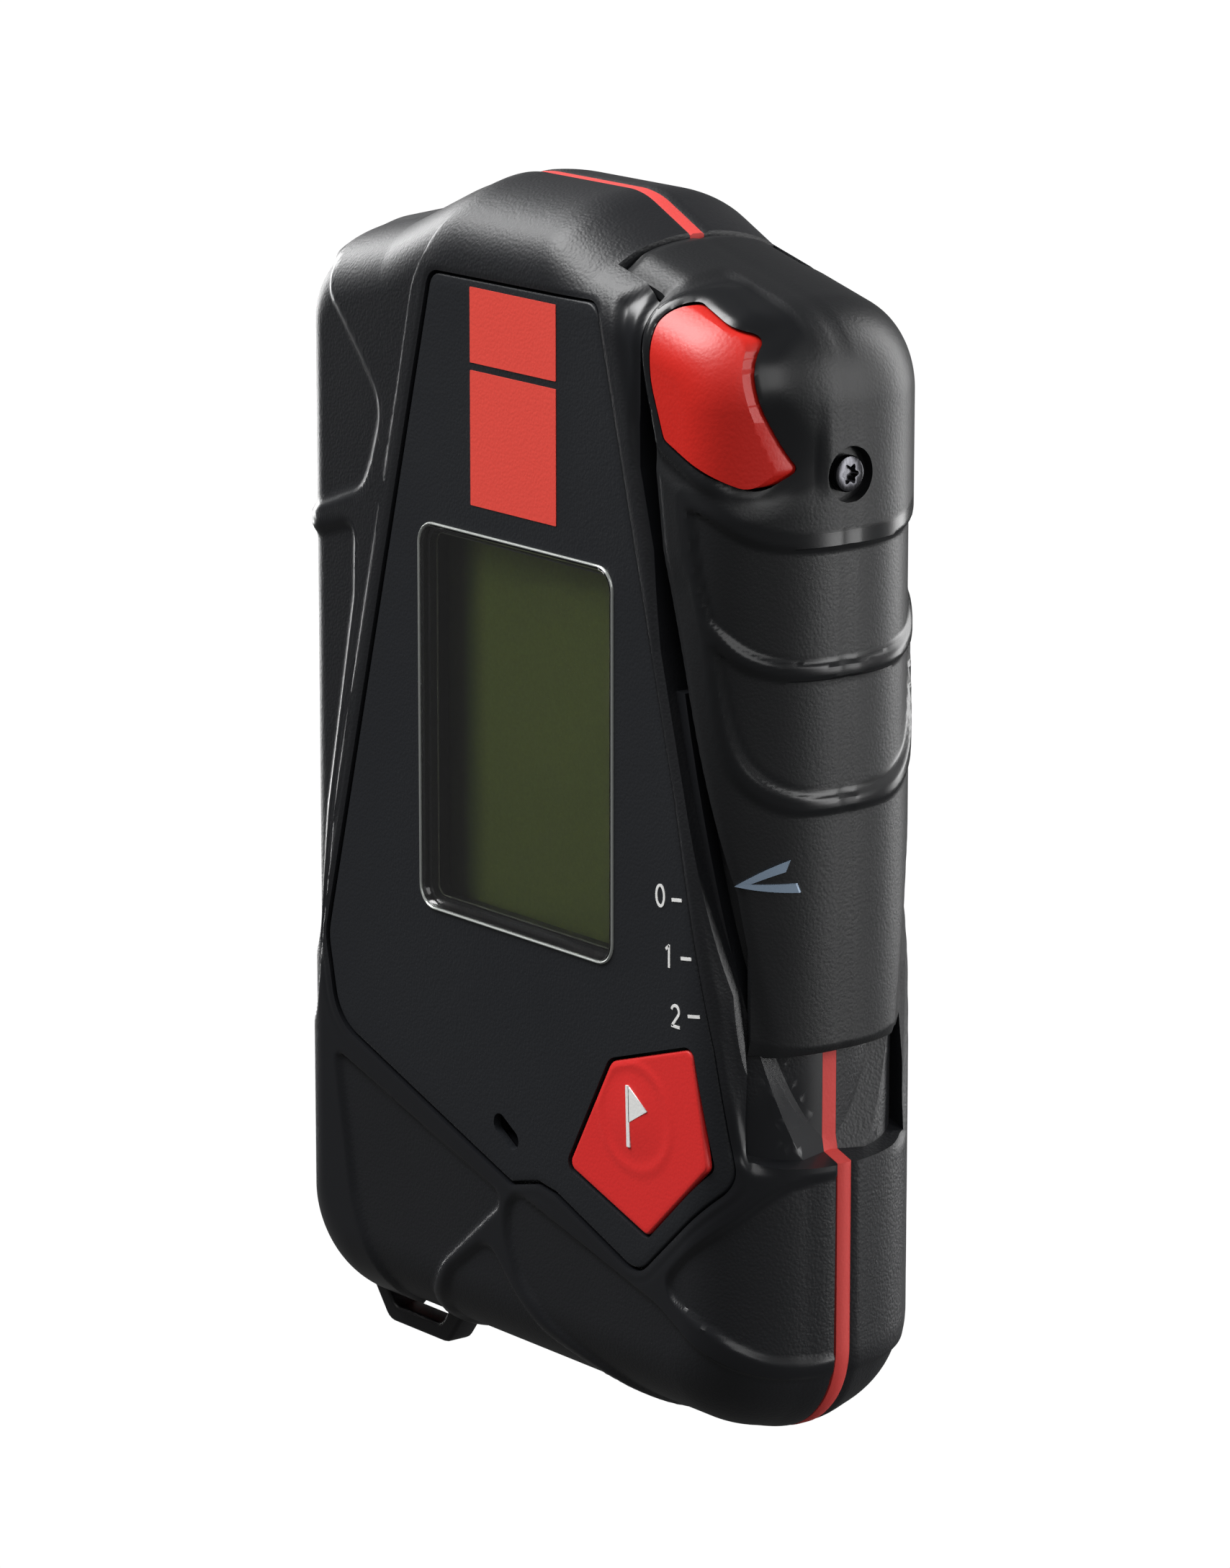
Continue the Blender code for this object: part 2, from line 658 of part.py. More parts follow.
def build_slider():
    cover = whole_body("slider_cover", OUTLINE, 0.0, HALF_DEPTH, "switch_charcoal")
    cut(cover, whole_body("slider_inside", OUTLINE, SLIDER_WALL, HALF_DEPTH - SLIDER_WALL))
    middle = [(13.4, 75.0), (13.4, 34.0), (29.0, 26.0), (29.0, SLIDER_BOTTOM), (60.0, SLIDER_BOTTOM), (60.0, 75.0)]
    depth = 8.6
    zone = prism("slider_zone", middle, -depth, depth)
    join(
        zone,
        slider_prism("slider_front", -20.0, -depth + 0.5, SLIDER_EDGE[0][0]),
        slider_prism("slider_rear", depth - 0.5, 20.0, SLIDER_EDGE[0][0]),
    )
    apply_boolean(cover, zone, "INTERSECT")
    place = (0, 0, SWITCH_SCREW_Z)
    cut(
        cover,
        prism("lock_hole", rounded(grown(LOCK_CORNERS, GAP), 4), -20.0, LOCK_HOLE_END),
        rod("screw_bore", "X", place, 1.4, 30.0, 60.0, "charcoal"),
        rod("screw_counterbore", "X", place, 1.9, 33.9, 60.0, "charcoal"),
    )
    return cover


def build_runner():
    """The runner slides in the groove in the body's side and carries the switch and its magnet."""
    across, upright = (-RUNNER_HALF, RUNNER_HALF), (RUNNER_BOTTOM, RUNNER_TOP)
    runner = box("slider_runner", (CORE_RIGHT - 1.8, 32.7), across, upright, "dark_moulding")
    bore = rod("runner_bore", "X", (0, 0, SWITCH_SCREW_Z), 1.2, 20.0, 60.0, "charcoal")
    pocket = rod("magnet_pocket", "X", (0, 0, 12.0), 1.8, 20.0, 31.9, "charcoal")
    cut(runner, bore, pocket)
    rod("slider_magnet", "X", (0, 0, 12.0), 1.5, 30.5, 31.6, "steel", 16)
    screw("slider_screw", "X", (0, 0, SWITCH_SCREW_Z), 34.0, 34.5, 1.7, 0.9, 30.6)
    return runner


def build_lock_button():
    cap = whole_body("lock_button", OUTLINE, 0.05, HALF_DEPTH - 0.05, "signal_red")
    cut(cap, whole_body("lock_inside", OUTLINE, SLIDER_WALL, HALF_DEPTH - SLIDER_WALL))
    zone = prism("lock_zone", rounded(LOCK_CORNERS, 4), -20.0, LOCK_HOLE_END - LOCK_TRAVEL - GAP)
    return apply_boolean(cap, zone, "INTERSECT")


# ---------------------------------------------------------------- assembly


def main():
    clear_scene()
    track, cavity = track_cutter(), body_cavity()
    build_shells(track, cavity)
    build_seal(track, cavity)
    for helper in (track, cavity):
        bpy.data.objects.remove(helper, do_unlink=True)
    build_eye()
    build_panel()
    build_display()
    build_flag_key()
    build_board()
    build_antennas()
    build_buzzer()
    build_battery()
    build_door()
    build_shell_screws()
    build_slider()
    build_runner()
    build_lock_button()
    middle = bpy.data.objects.new("middle_of_box", None)
    middle.location.z = LIFT * MM
    bpy.context.scene.collection.objects.link(middle)
    for item in bpy.data.objects:
        if item.type == "MESH":
            item.parent = middle


main()
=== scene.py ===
"""Looks of the avalanche transceiver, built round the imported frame.

Shapes are worked out in millimetres in the body's own coordinates: x to the right of the display, y from the
display side (-12) through the seam (0) to the back (+12), z up. place() turns them into the frame's metres.
"""

from math import acos, atan2, cos, hypot, pi, radians, sin, tan

import bmesh
import bpy
import numpy as np
from mathutils import Matrix, Vector


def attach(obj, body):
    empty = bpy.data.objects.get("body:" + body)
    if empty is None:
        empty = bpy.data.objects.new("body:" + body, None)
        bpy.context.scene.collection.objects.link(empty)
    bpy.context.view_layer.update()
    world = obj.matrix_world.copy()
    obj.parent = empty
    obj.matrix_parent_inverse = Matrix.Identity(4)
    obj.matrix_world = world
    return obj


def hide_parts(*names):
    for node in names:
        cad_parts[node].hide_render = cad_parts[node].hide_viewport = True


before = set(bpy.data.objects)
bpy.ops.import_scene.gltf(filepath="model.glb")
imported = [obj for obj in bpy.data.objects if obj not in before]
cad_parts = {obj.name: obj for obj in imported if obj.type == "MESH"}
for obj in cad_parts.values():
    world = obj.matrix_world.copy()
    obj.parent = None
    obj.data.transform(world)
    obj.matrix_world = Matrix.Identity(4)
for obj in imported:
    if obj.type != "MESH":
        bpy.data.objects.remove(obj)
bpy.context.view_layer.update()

MM = 0.001
# The body's own origin stands this far above the frame's.
LIFT = 1.2

# ---------------------------------------------------------------- driving sizes

HALF_DEPTH = 12.0
SEAM_HALF = 0.8
ROUNDNESS = 2.2
GAP = 0.3
TRAVEL = 9.2
SLIDER_BOTTOM = -18.2
CORE_RIGHT = 32.2
CORE_HALF_DEPTH = 9.2
LEDGE_INNER_Z = -27.8
LEDGE_SLOPE = 0.35
PANEL_FRONT = 11.75
POCKET_FLOOR = 10.5
# Walls of the lock button and of the mode switch, and how far the ramps lie under the full outline.
SLIDER_WALL = 1.6
SLIDER_SKIRT = 0.8
RAMP_INSET = 1.25
# Flat faces over this many square millimetres are shaded flat.
LARGE_FACE = 1.5
WINDOW = (-13.1, 16.0, -12.7, 23.9)
WINDOW_RADIUS = 2.2
DOOR = (-14.6, 2.6, -46.5, 18.0)
CELL_OPENING_TOP = 11.0
SCREW_Z = 33.8
DOOR_SCREW = (-6.0, 14.6)
SHELL_SCREWS = [(-26.5, 37.0), (-26.5, -44.0), (20.0, -45.0), (3.0, 44.5)]
# Places on the two faces that the skin runs in to.
PANEL_MIDDLE = (2.0, -4.0)
DOOR_MIDDLE = (-6.0, -14.0)
# Cutters run on past the body: through its depth, to its sides, above it and below the mode switch.
THROUGH = 20.0
BESIDE = 60.0
ABOVE = 75.0
BELOW = -40.0
# How deep the relief of the shells lies.
CELL_DEPTH = 0.42
REAR_CELL_DEPTH = 0.40
GRIP_DEPTH = 0.50
SHOULDER_DEPTH = 0.30
STRIP_DEPTH = 0.55
EDGE_ROUND = 0.3
POINTER_SUNK = 0.26

# Seam outline, anticlockwise from the lower left: x, z, corner radius, draw of the next edge to the face.
OUTLINE = [
    (-34.6, -55.4, 9.5, 9.0),
    (34.6, -55.4, 9.5, 8.5),
    (34.6, 47.0, 9.0, 7.0),
    (13.1, 52.4, 1.5, 7.0),
    (6.5, 55.5, 9.0, 7.5),
    (-10.5, 55.5, 14.0, 7.5),
    (-21.0, 50.9, 2.0, 7.5),
    (-34.6, 47.6, 8.0, 6.0),
]
SWITCH_OUTLINE = [
    (-34.6, -75.0, 1.0, 8.5),
    (34.6, -75.0, 1.0, 8.5),
    (34.6, 47.0, 9.0, 7.0),
    (-20.0, 60.7, 1.0, 7.0),
]
CORE_OUTLINE = [
    (-60.0, -75.0, 1.0, 0.0),
    (CORE_RIGHT, -75.0, 1.0, 6.5),
    (CORE_RIGHT, 35.4, 8.0, 5.0),
    (13.0, 40.2, 0.8, 0.0),
    (13.0, 75.0, 1.0, 0.0),
    (-60.0, 75.0, 1.0, 0.0),
]
SWITCH_EDGE = [(19.3, 46.5), (19.7, 42.7), (21.6, 35.6), (22.9, 26.8), (30.9, -3.2), (32.6, -16.6)]
SWITCH_LINE = [(SWITCH_EDGE[0][0], ABOVE), *SWITCH_EDGE, (SWITCH_EDGE[-1][0], BELOW)]
PANEL = [
    (-10.9, 47.0, 1.5),
    (-27.9, -18.4, 5.0),
    (-26.2, -26.4, 5.0),
    (0.7, -36.2, 1.0),
    (4.7, -35.2, 1.0),
    (7.4, -35.6, 1.0),
    (19.5, -40.4, 3.0),
    (31.2, -29.6, 3.0),
    (29.4, -17.6, 9.0),
    (24.6, 4.6, 9.0),
    (13.4, 47.2, 1.5),
]
KEY = [(15.5, -21.4, 1.6), (9.2, -32.6, 0.8), (20.7, -36.6, 0.8), (29.3, -28.4, 0.8), (27.0, -17.8, 0.8)]
LOCK = [
    (21.0, 48.7, 1.8),
    (21.5, 41.5, 8.0),
    (23.4, 36.6, 1.0),
    (32.0, 32.9, 1.0),
    (33.2, 34.6, 0.8),
    (31.6, 41.0, 8.0),
    (30.1, 45.8, 1.6),
]

# Recessed cells of the front, as corners (x, z, radius) seen from the front. They run on round the edge.
FRONT_CELLS = [
    [(-26.9, -29.2, 0.8), (-24.3, -43.0, 8.0), (-20.6, -51.5, 5.0), (-19.0, -60.0, 1.0), (-15.0, -60.0, 1.0),
     (-12.4, -50.6, 3.0), (-9.6, -46.6, 3.0), (0.6, -37.9, 1.4)],
    [(-3.0, -42.2, 2.2), (-8.9, -46.7, 4.0), (-11.8, -51.5, 3.0), (-13.4, -60.0, 1.0), (24.0, -60.0, 1.0),
     (13.0, -52.6, 5.0), (5.2, -49.7, 8.0), (1.0, -46.3, 6.0)],
    [(0.4, -36.4, 2.4), (-0.5, -41.0, 5.0), (1.6, -45.2, 5.0), (5.6, -48.7, 8.0), (13.2, -52.0, 5.0),
     (26.0, -60.0, 1.0), (44.0, -60.0, 1.0), (44.0, -48.8, 1.0), (33.6, -48.0, 4.0), (22.4, -42.3, 12.0)],
    [(22.4, -40.8, 1.8), (29.6, -43.8, 5.0), (33.8, -46.8, 3.0), (44.0, -47.4, 1.0), (44.0, -29.0, 1.0),
     (33.9, -29.4, 2.0), (31.2, -32.9, 6.0), (26.0, -37.2, 3.0)],
]
GRIP_CELLS = [
    [(-28.4, 46.5, 2.0), (-26.4, 42.9, 5.0), (-22.2, 38.3, 7.0), (-18.4, 33.8, 5.0), (-20.3, 28.0, 8.0),
     (-21.8, 24.9, 4.0), (-30.0, 21.8, 3.0), (-44.0, 21.4, 1.0), (-44.0, 46.5, 1.0)],
    [(-23.0, 22.6, 1.6), (-23.2, 15.0, 9.0), (-27.6, -6.0, 20.0), (-29.6, -22.0, 6.0), (-44.0, -24.0, 1.0),
     (-44.0, 20.2, 1.0), (-30.0, 20.6, 2.0)],
]
SHOULDER = [(-9.3, 60.0, 1.0), (-9.6, 53.4, 3.0), (-11.6, 49.2, 6.0), (-13.6, 45.5, 6.0), (-15.7, 36.6, 9.0),
            (-25.9, -3.5, 20.0), (-29.0, -22.0, 9.0), (-30.0, -28.0, 3.0), (-44.0, -28.0, 1.0), (-44.0, 60.0, 1.0)]
STRIP = [(15.0, 48.0, 1.0), (26.0, 4.8, 9.0), (31.5, -17.6, 9.0), (30.2, -30.6, 1.5), (33.6, -27.4, 0.8),
         (44.0, -24.0, 1.0), (44.0, 52.0, 1.0), (17.5, 50.0, 1.0)]
# Smooth ribs of the mode switch; the same on the back.
SWITCH_FRAME = [(26.1, 31.6), (27.1, 25.2), (28.8, 19.9), (29.7, 13.0), (30.9, 8.6), (32.6, 6.1), (33.8, 4.9),
                (34.4, 4.4), (40.0, 4.3)]
SWITCH_RIBS = [
    [(26.1, 31.6), (28.7, 31.2), (31.0, 29.7), (33.0, 28.5), (34.3, 28.0), (40.0, 27.9)],
    [(28.2, 21.2), (29.6, 19.8), (31.6, 17.9), (33.4, 16.9), (34.4, 16.4), (40.0, 16.3)],
]

# ---------------------------------------------------------------- outlines


def drawn_in(corners, wall=0.0, share=0.0):
    """The outline moved in by a wall and by a share of each edge's own draw."""
    count = len(corners)
    here = np.array([corner[:2] for corner in corners])
    run = np.roll(here, -1, 0) - here
    length = np.hypot(run[:, 0], run[:, 1])
    normal = np.c_[-run[:, 1] / length, run[:, 0] / length]
    shift = wall + share * np.array([corner[3] for corner in corners])
    moved = []
    for i in range(count):
        (ax, az), (bx, bz) = normal[i - 1], normal[i]
        sa, sb = shift[i - 1], shift[i]
        cross = ax * bz - az * bx
        x = here[i][0] + (sa * bz - sb * az) / cross
        z = here[i][1] + (sb * ax - sa * bx) / cross
        drawn = (sa + sb) / 2
        radius = corners[i][2]
        moved.append((x, z, max(radius - 0.75 * drawn, 0.8) if cross > 0 else radius + 0.5 * drawn))
    return moved


def grown(corners, margin):
    """Corners (x, z, radius) of an outline moved outwards."""
    area = sum(a[0] * b[1] - b[0] * a[1] for a, b in zip(corners, corners[1:] + corners[:1], strict=True))
    moved = drawn_in([(x, z, 0.0, 0.0) for x, z, _ in corners], -margin if area > 0 else margin)
    return [(x, z, max(r + margin, 0.05)) for (x, z, _), (_, _, r) in zip(moved, corners, strict=True)]


def corner_arcs(corners):
    """(centre, start arm, turn, radius) of each corner's arc."""
    arcs = []
    for i, (x, z, radius) in enumerate(corners):
        here = np.array((x, z), float)
        before = np.array(corners[i - 1][:2]) - here
        after = np.array(corners[(i + 1) % len(corners)][:2]) - here
        before /= hypot(*before)
        after /= hypot(*after)
        half = acos(max(-1.0, min(1.0, before @ after))) / 2
        middle = before + after
        centre = here + middle / hypot(*middle) * radius / sin(half)
        start = here + before * radius / tan(half) - centre
        end = here + after * radius / tan(half) - centre
        arcs.append((centre, start, atan2(start[0] * end[1] - start[1] * end[0], start @ end), radius))
    return arcs


def turned_arm(arm, angle):
    return np.array((arm[0] * cos(angle) - arm[1] * sin(angle), arm[0] * sin(angle) + arm[1] * cos(angle)))


def point_counts(corners, spacing):
    """How many points each arc and each straight run gets, so that all rings of a skin match."""
    arcs = corner_arcs(corners)
    counts = []
    for i, (centre, start, turn, radius) in enumerate(arcs):
        next_centre, next_start, _, _ = arcs[(i + 1) % len(arcs)]
        run = hypot(*(next_centre + next_start - centre - turned_arm(start, turn)))
        counts.append((max(3, round(abs(turn) * radius / spacing)), max(1, round(run / spacing))))
    return counts


def ring(corners, counts):
    """Points of a closed outline with rounded corners."""
    arcs = corner_arcs(corners)
    pieces = []
    for i, (centre, start, turn, _) in enumerate(arcs):
        arc_count, run_count = counts[i]
        arc = np.array([centre + turned_arm(start, turn * k / arc_count) for k in range(arc_count + 1)])
        next_centre, next_start, _, _ = arcs[(i + 1) % len(arcs)]
        share = np.linspace(0, 1, run_count + 1)[1:-1, None]
        pieces += [arc, arc[-1] + (next_centre + next_start - arc[-1]) * share]
    return np.vstack(pieces)


def outline(corners, spacing=0.8):
    return ring(corners, point_counts(corners, spacing))


def rectangle(x0, x1, z0, z1, radius, spacing=0.4):
    return outline([(x0, z0, radius), (x1, z0, radius), (x1, z1, radius), (x0, z1, radius)], spacing)


# ---------------------------------------------------------------- relief


def smooth(t):
    t = np.clip(t, 0, 1)
    return t * t * (3 - 2 * t)


def distance(x, z, path, closed=False):
    """Distance from points (x, z) to a path."""
    path = np.asarray(path)
    ends = np.roll(path, -1, 0) if closed else path[1:]
    best = np.full(x.shape, 1e9)
    for (ax, az), (bx, bz) in zip(path[: len(ends)], ends, strict=True):
        dx, dz = bx - ax, bz - az
        along = np.clip(((x - ax) * dx + (z - az) * dz) / (dx * dx + dz * dz + 1e-12), 0, 1)
        best = np.minimum(best, np.hypot(x - ax - along * dx, z - az - along * dz))
    return best


def depth_inside(x, z, path):
    """Distance to a closed outline, positive inside it."""
    path = np.asarray(path)
    inside = np.zeros(x.shape, bool)
    for (ax, az), (bx, bz) in zip(path, np.roll(path, -1, 0), strict=True):
        if az == bz:
            continue
        crossed = ((az > z) != (bz > z)) & (x < (bx - ax) * (z - az) / (bz - az) + ax)
        inside ^= crossed
    return np.where(inside, 1, -1) * distance(x, z, path, True)


def fillet(gap, radius):
    """How far a rounded edge falls away at this distance from the edge."""
    gap = np.clip(gap, 0, radius)
    return radius - np.sqrt(np.maximum(radius * radius - (radius - gap) ** 2, 0))


def eased(gap, width, drop):
    """A softer edge that falls away less steeply, flat at the edge itself."""
    return drop * (1 - smooth(gap / width))


def ledge(x):
    """Height of the track's lower end, which slopes down towards the side."""
    return LEDGE_INNER_Z - LEDGE_SLOPE * (x - CORE_RIGHT)


def swept_edge():
    """The mode switch's left edge at its lowest place, with its gap."""
    return [(x - GAP, z - TRAVEL) for x, z in SWITCH_EDGE]


def track_bottom():
    right = swept_edge()[-1][0] + GAP
    return [(right, ledge(right)), (BESIDE, ledge(BESIDE))]


def track_zone():
    """The mode switch's track as seen from the front, run on past the body."""
    edge = swept_edge()
    return [(edge[0][0], ABOVE), *edge, *track_bottom(), (BESIDE, ABOVE)]


def track_edge_gap(x, z):
    """Distance from the edge of the mode switch's track, on the case's side of it."""
    return np.maximum(-depth_inside(x, z, track_zone()), 0)


def inside_cells(x, z, cells):
    return np.max([depth_inside(x, z, outline(cell)) for cell in cells], axis=0)


def on_face(y):
    """0 at the seam and 1 on the face."""
    return smooth((np.abs(y) - 1.2) / 3.0)


def shared_relief(x, y, z):
    """The relief that both shells have: grips, shoulder, and their edges at the track and the seam."""
    face = on_face(y)
    relief = GRIP_DEPTH * smooth(inside_cells(x, z, GRIP_CELLS) / 1.1) * (0.35 + 0.65 * face)
    relief += SHOULDER_DEPTH * smooth(depth_inside(x, z, outline(SHOULDER)) / 0.35) * face
    relief += eased(track_edge_gap(x, z), 0.9, 0.35) * smooth((np.abs(y) - 6.0) / 3.0)
    return relief + fillet(np.abs(y) - SEAM_HALF, EDGE_ROUND)


def cell_relief(x, y, z, soft):
    return smooth(inside_cells(x, z, FRONT_CELLS) / soft) * (0.45 + 0.55 * on_face(y))


def front_relief(x, y, z):
    """How far the front shell's surface lies under its full outline."""
    relief = shared_relief(x, y, z) + CELL_DEPTH * cell_relief(x, y, z, 0.55)
    relief += STRIP_DEPTH * smooth(depth_inside(x, z, outline(STRIP)) / 1.6) * on_face(y)
    rim = -depth_inside(x, z, outline(grown(PANEL, GAP)))
    relief += 0.05 * (1 - smooth(np.abs(rim - 0.95) / 0.4)) * smooth((8.0 - z) / 20.0)
    return relief + eased(np.maximum(rim, 0), 0.5, 0.1)


def front_grain(x, y, z):
    """1 where the front shell is grained, 0 where it is smooth."""
    cells = smooth((inside_cells(x, z, FRONT_CELLS) - 0.2) / 0.5)
    inside_grips = inside_cells(x, z, GRIP_CELLS)
    grip = smooth((inside_grips - 0.3) / 0.9)
    upper = smooth((z + 24.0) / 3.0) * (inside_grips < -0.4)
    strip = smooth(depth_inside(x, z, outline(STRIP)) / 1.0)
    return np.clip(np.maximum(np.maximum(cells, grip), upper) * (1 - strip), 0, 1)


def rear_relief(x, y, z):
    """How far the rear shell's surface lies under its full outline; its cells fade out upwards."""
    return shared_relief(x, y, z) + REAR_CELL_DEPTH * cell_relief(x, y, z, 0.7) * smooth(-z - 47.5)


def lock_distance(x, y, z):
    """Distance outside the lock button's hole; far away on the back."""
    return np.where(y < -3.0, -depth_inside(x, z, outline(grown(LOCK, GAP))), 40.0)


def rib_distance(x, z):
    paths = [SWITCH_FRAME, *SWITCH_RIBS]
    return np.min([distance(x, z, rounded_path(path)) for path in paths], axis=0)


def rounded_path(path, rounds=2):
    """Cuts the corners of an open path."""
    points = np.array(path, float)
    for _ in range(rounds):
        first, second = points[:-1] * 0.75 + points[1:] * 0.25, points[:-1] * 0.25 + points[1:] * 0.75
        inner = np.stack([first, second], 1).reshape(-1, 2)
        points = np.vstack([points[:1], inner[1:-1], points[-1:]])
    return points


def switch_relief(x, y, z):
    ribs = rib_distance(x, z)
    frame_path = rounded_path(SWITCH_FRAME)
    right_side = [(44.0, 4.3), (44.0, 27.9), (34.3, 28.0), (31.0, 29.7)]
    cells = [(26.4, 31.4), *[tuple(p) for p in frame_path[2:]], *right_side]
    in_cell = smooth((depth_inside(x, z, cells) + 0.2) / 0.6)
    below = smooth((27.0 - z) / 4.0) * (1 - in_cell) * smooth((x - 22.0) / 4.0 + smooth(-z / 6.0))
    relief = np.maximum(0.45 * in_cell, 0.26 * below)
    relief = relief * smooth((ribs - 0.4) / 0.5)
    outside = lock_distance(x, y, z)
    right = smooth((x - 28.0) / 3.0)
    relief += 0.20 * (1 - smooth(outside / 0.45))
    relief += 0.50 * right * (1 - smooth((outside - 0.2) / 2.6))
    relief += 0.30 * smooth((outside - 1.0) / 0.5) * (1 - smooth((outside - 1.6) / 1.6)) * (1 - right)
    zone = [*SWITCH_LINE, (BESIDE, BELOW), (BESIDE, ABOVE)]
    relief += eased(np.maximum(depth_inside(x, z, zone), 0), 1.0, 0.4) * smooth((np.abs(y) - 6.0) / 2.5)
    relief += fillet(z - SLIDER_BOTTOM, 0.4)
    relief += eased(x - 13.4, 1.2, 0.3)
    relief += 0.12 * (np.abs(y) < 0.05)
    return relief


def switch_grain(x, y, z):
    ribs = rib_distance(x, z)
    outside = lock_distance(x, y, z)
    return smooth((ribs - 0.7) / 0.5) * smooth((outside - 1.0) / 0.8)


# ---------------------------------------------------------------- meshes


def place(points):
    """Body millimetres to frame metres."""
    return (np.asarray(points, float) + (0.0, 0.0, LIFT)) * MM


def make(name, points, faces, finish=None):
    """A mesh object from body coordinates, its faces turned outwards."""
    mesh = bpy.data.meshes.new(name)
    mesh.from_pydata(place(points).tolist(), [], [list(map(int, face)) for face in faces])
    builder = bmesh.new()
    builder.from_mesh(mesh)
    bmesh.ops.recalc_face_normals(builder, faces=builder.faces)
    builder.to_mesh(mesh)
    builder.free()
    made = bpy.data.objects.new(name, mesh)
    bpy.context.scene.collection.objects.link(made)
    shade(made)
    if finish:
        mesh.materials.append(finish)
    return made


def shade(item, angle=40.0):
    item.data.shade_smooth()
    item.data.set_sharp_from_angle(angle=radians(angle))


def skin_faces(rows, columns, closed=True):
    """Quads of a grid of rows by columns, its rows closed into rings or left open."""
    count = columns if closed else columns - 1
    low = np.arange(count)
    high = (low + 1) % columns
    return np.vstack([np.c_[r * columns + low, r * columns + high, (r + 1) * columns + high, (r + 1) * columns + low]
                      for r in range(rows - 1)])


def ring_solid(name, rings):
    """A closed solid through rings of equal counts; each ring is an (n, 3) array."""
    count = len(rings[0])
    faces = skin_faces(len(rings), count).tolist()
    faces.append(list(range(count))[::-1])
    faces.append(list(range((len(rings) - 1) * count, len(rings) * count)))
    return make(name, np.vstack(rings), faces)


def flat_ring(points, y):
    points = np.asarray(points)
    return np.c_[points[:, 0], np.full(len(points), float(y)), points[:, 1]]


def prism(name, points, y0=-THROUGH, y1=THROUGH):
    return ring_solid(name, [flat_ring(points, y0), flat_ring(points, y1)])


def grid_normals(grid, closed=True):
    along = np.roll(grid, -1, 1) - np.roll(grid, 1, 1)
    if not closed:
        along[:, 0], along[:, -1] = grid[:, 1] - grid[:, 0], grid[:, -1] - grid[:, -2]
    across = np.gradient(grid, axis=0)
    normal = np.cross(along, across)
    return normal / (np.linalg.norm(normal, axis=2, keepdims=True) + 1e-12)


def open_normals(grid):
    """Normals of an open grid that wraps the right edge, turned outwards."""
    normal = grid_normals(grid, closed=False)
    return normal * np.sign((normal[len(grid) // 2] * (1, 0, 0)).sum())


def profile_angles(count, first):
    """Angles round the edge from the seam to the face, starting at a distance from the seam."""
    start = np.arcsin((first / HALF_DEPTH) ** (ROUNDNESS / 2)) if first else 0.0
    return np.linspace(start, pi / 2, count)


def edge_rings(corners, counts, angles, side, half_depth=HALF_DEPTH, wall=0.0):
    rings = []
    for angle in angles:
        share = 1 - max(cos(angle), 0.0) ** (2 / ROUNDNESS)
        out = sin(angle) ** (2 / ROUNDNESS) * half_depth
        rings.append(flat_ring(ring(drawn_in(corners, wall, share), counts), side * out))
    return rings


def seen_from(centre, points, target):
    """Where rays from the centre through the points meet a closed outline."""
    centre, target = np.array(centre), np.asarray(target)
    aim = np.arctan2(points[:, 1] - centre[1], points[:, 0] - centre[0])
    around = np.arctan2(target[:, 1] - centre[1], target[:, 0] - centre[0])
    order = np.argsort(around)
    around, reach = around[order], np.hypot(*(target[order] - centre).T)
    x, z = reach * np.cos(around), reach * np.sin(around)
    around = np.r_[around[-1] - 2 * pi, around, around[0] + 2 * pi]
    x, z = np.r_[x[-1], x, x[0]], np.r_[z[-1], z, z[0]]
    return centre + np.c_[np.interp(aim, around, x), np.interp(aim, around, z)]


def shell_block(name, side, relief, pocket, centre, floor, depth, rows=78):
    """Half of the body as a solid: its fine skin outside, and a pocket in its face.

    Each column of the skin runs in from the seam, over the edge and across the face, and ends where it meets the
    pocket. The pocket's floor is at this place on the face, and this deep where the edge already falls away.
    """
    counts = point_counts(drawn_in(OUTLINE), 0.42)
    edge = np.array(edge_rings(OUTLINE, counts, profile_angles(60, SEAM_HALF), side))
    face_edge = edge[-1][:, [0, 2]]
    inner = seen_from(centre, face_edge, pocket)
    shares = np.linspace(0, 1, 41)[1:]
    fill = [flat_ring(face_edge + (inner - face_edge) * share, side * HALF_DEPTH) for share in shares]
    paths = np.concatenate([edge, fill])
    inside = depth_inside(edge[..., 0], edge[..., 2], pocket) > 0
    grid = np.zeros((rows, paths.shape[1], 3))
    for column in range(paths.shape[1]):
        path = paths[:, column]
        if inside[:, column].any():
            last = int(np.argmax(inside[:, column]))
            low, high = path[last - 1], path[last]
            gap_low, gap_high = depth_inside(*np.array([low, high])[:, [0, 2]].T, pocket)
            path = np.vstack([path[:last], low + (high - low) * gap_low / (gap_low - gap_high)])
        reach = np.r_[0, np.cumsum(np.linalg.norm(np.diff(path, axis=0), axis=1))]
        wanted = np.linspace(0, reach[-1], rows)
        grid[:, column] = np.c_[[np.interp(wanted, reach, path[:, axis]) for axis in range(3)]].T
    normal = grid_normals(grid)
    normal *= np.sign((normal[0] * (grid[0] * (1, 0, 1))).sum())
    normal[0, :, 1] = 0
    grid = grid - normal * relief(grid[..., 0], grid[..., 1], grid[..., 2])[..., None]
    bottom = grid[-1].copy()
    bottom[:, 1] = side * np.minimum(floor, np.abs(bottom[:, 1]) - depth)
    return ring_solid(name, [*grid, bottom])


def whole_block(name, corners, half_depth, spacing=1.2, wall=0.0, steps=14):
    counts = point_counts(drawn_in(corners, wall), spacing)
    angles = np.linspace(0, pi / 2, steps)
    front = edge_rings(corners, counts, angles, -1, half_depth, wall)
    back = edge_rings(corners, counts, angles[1:], 1, half_depth, wall)
    return ring_solid(name, [*front[::-1], *back])


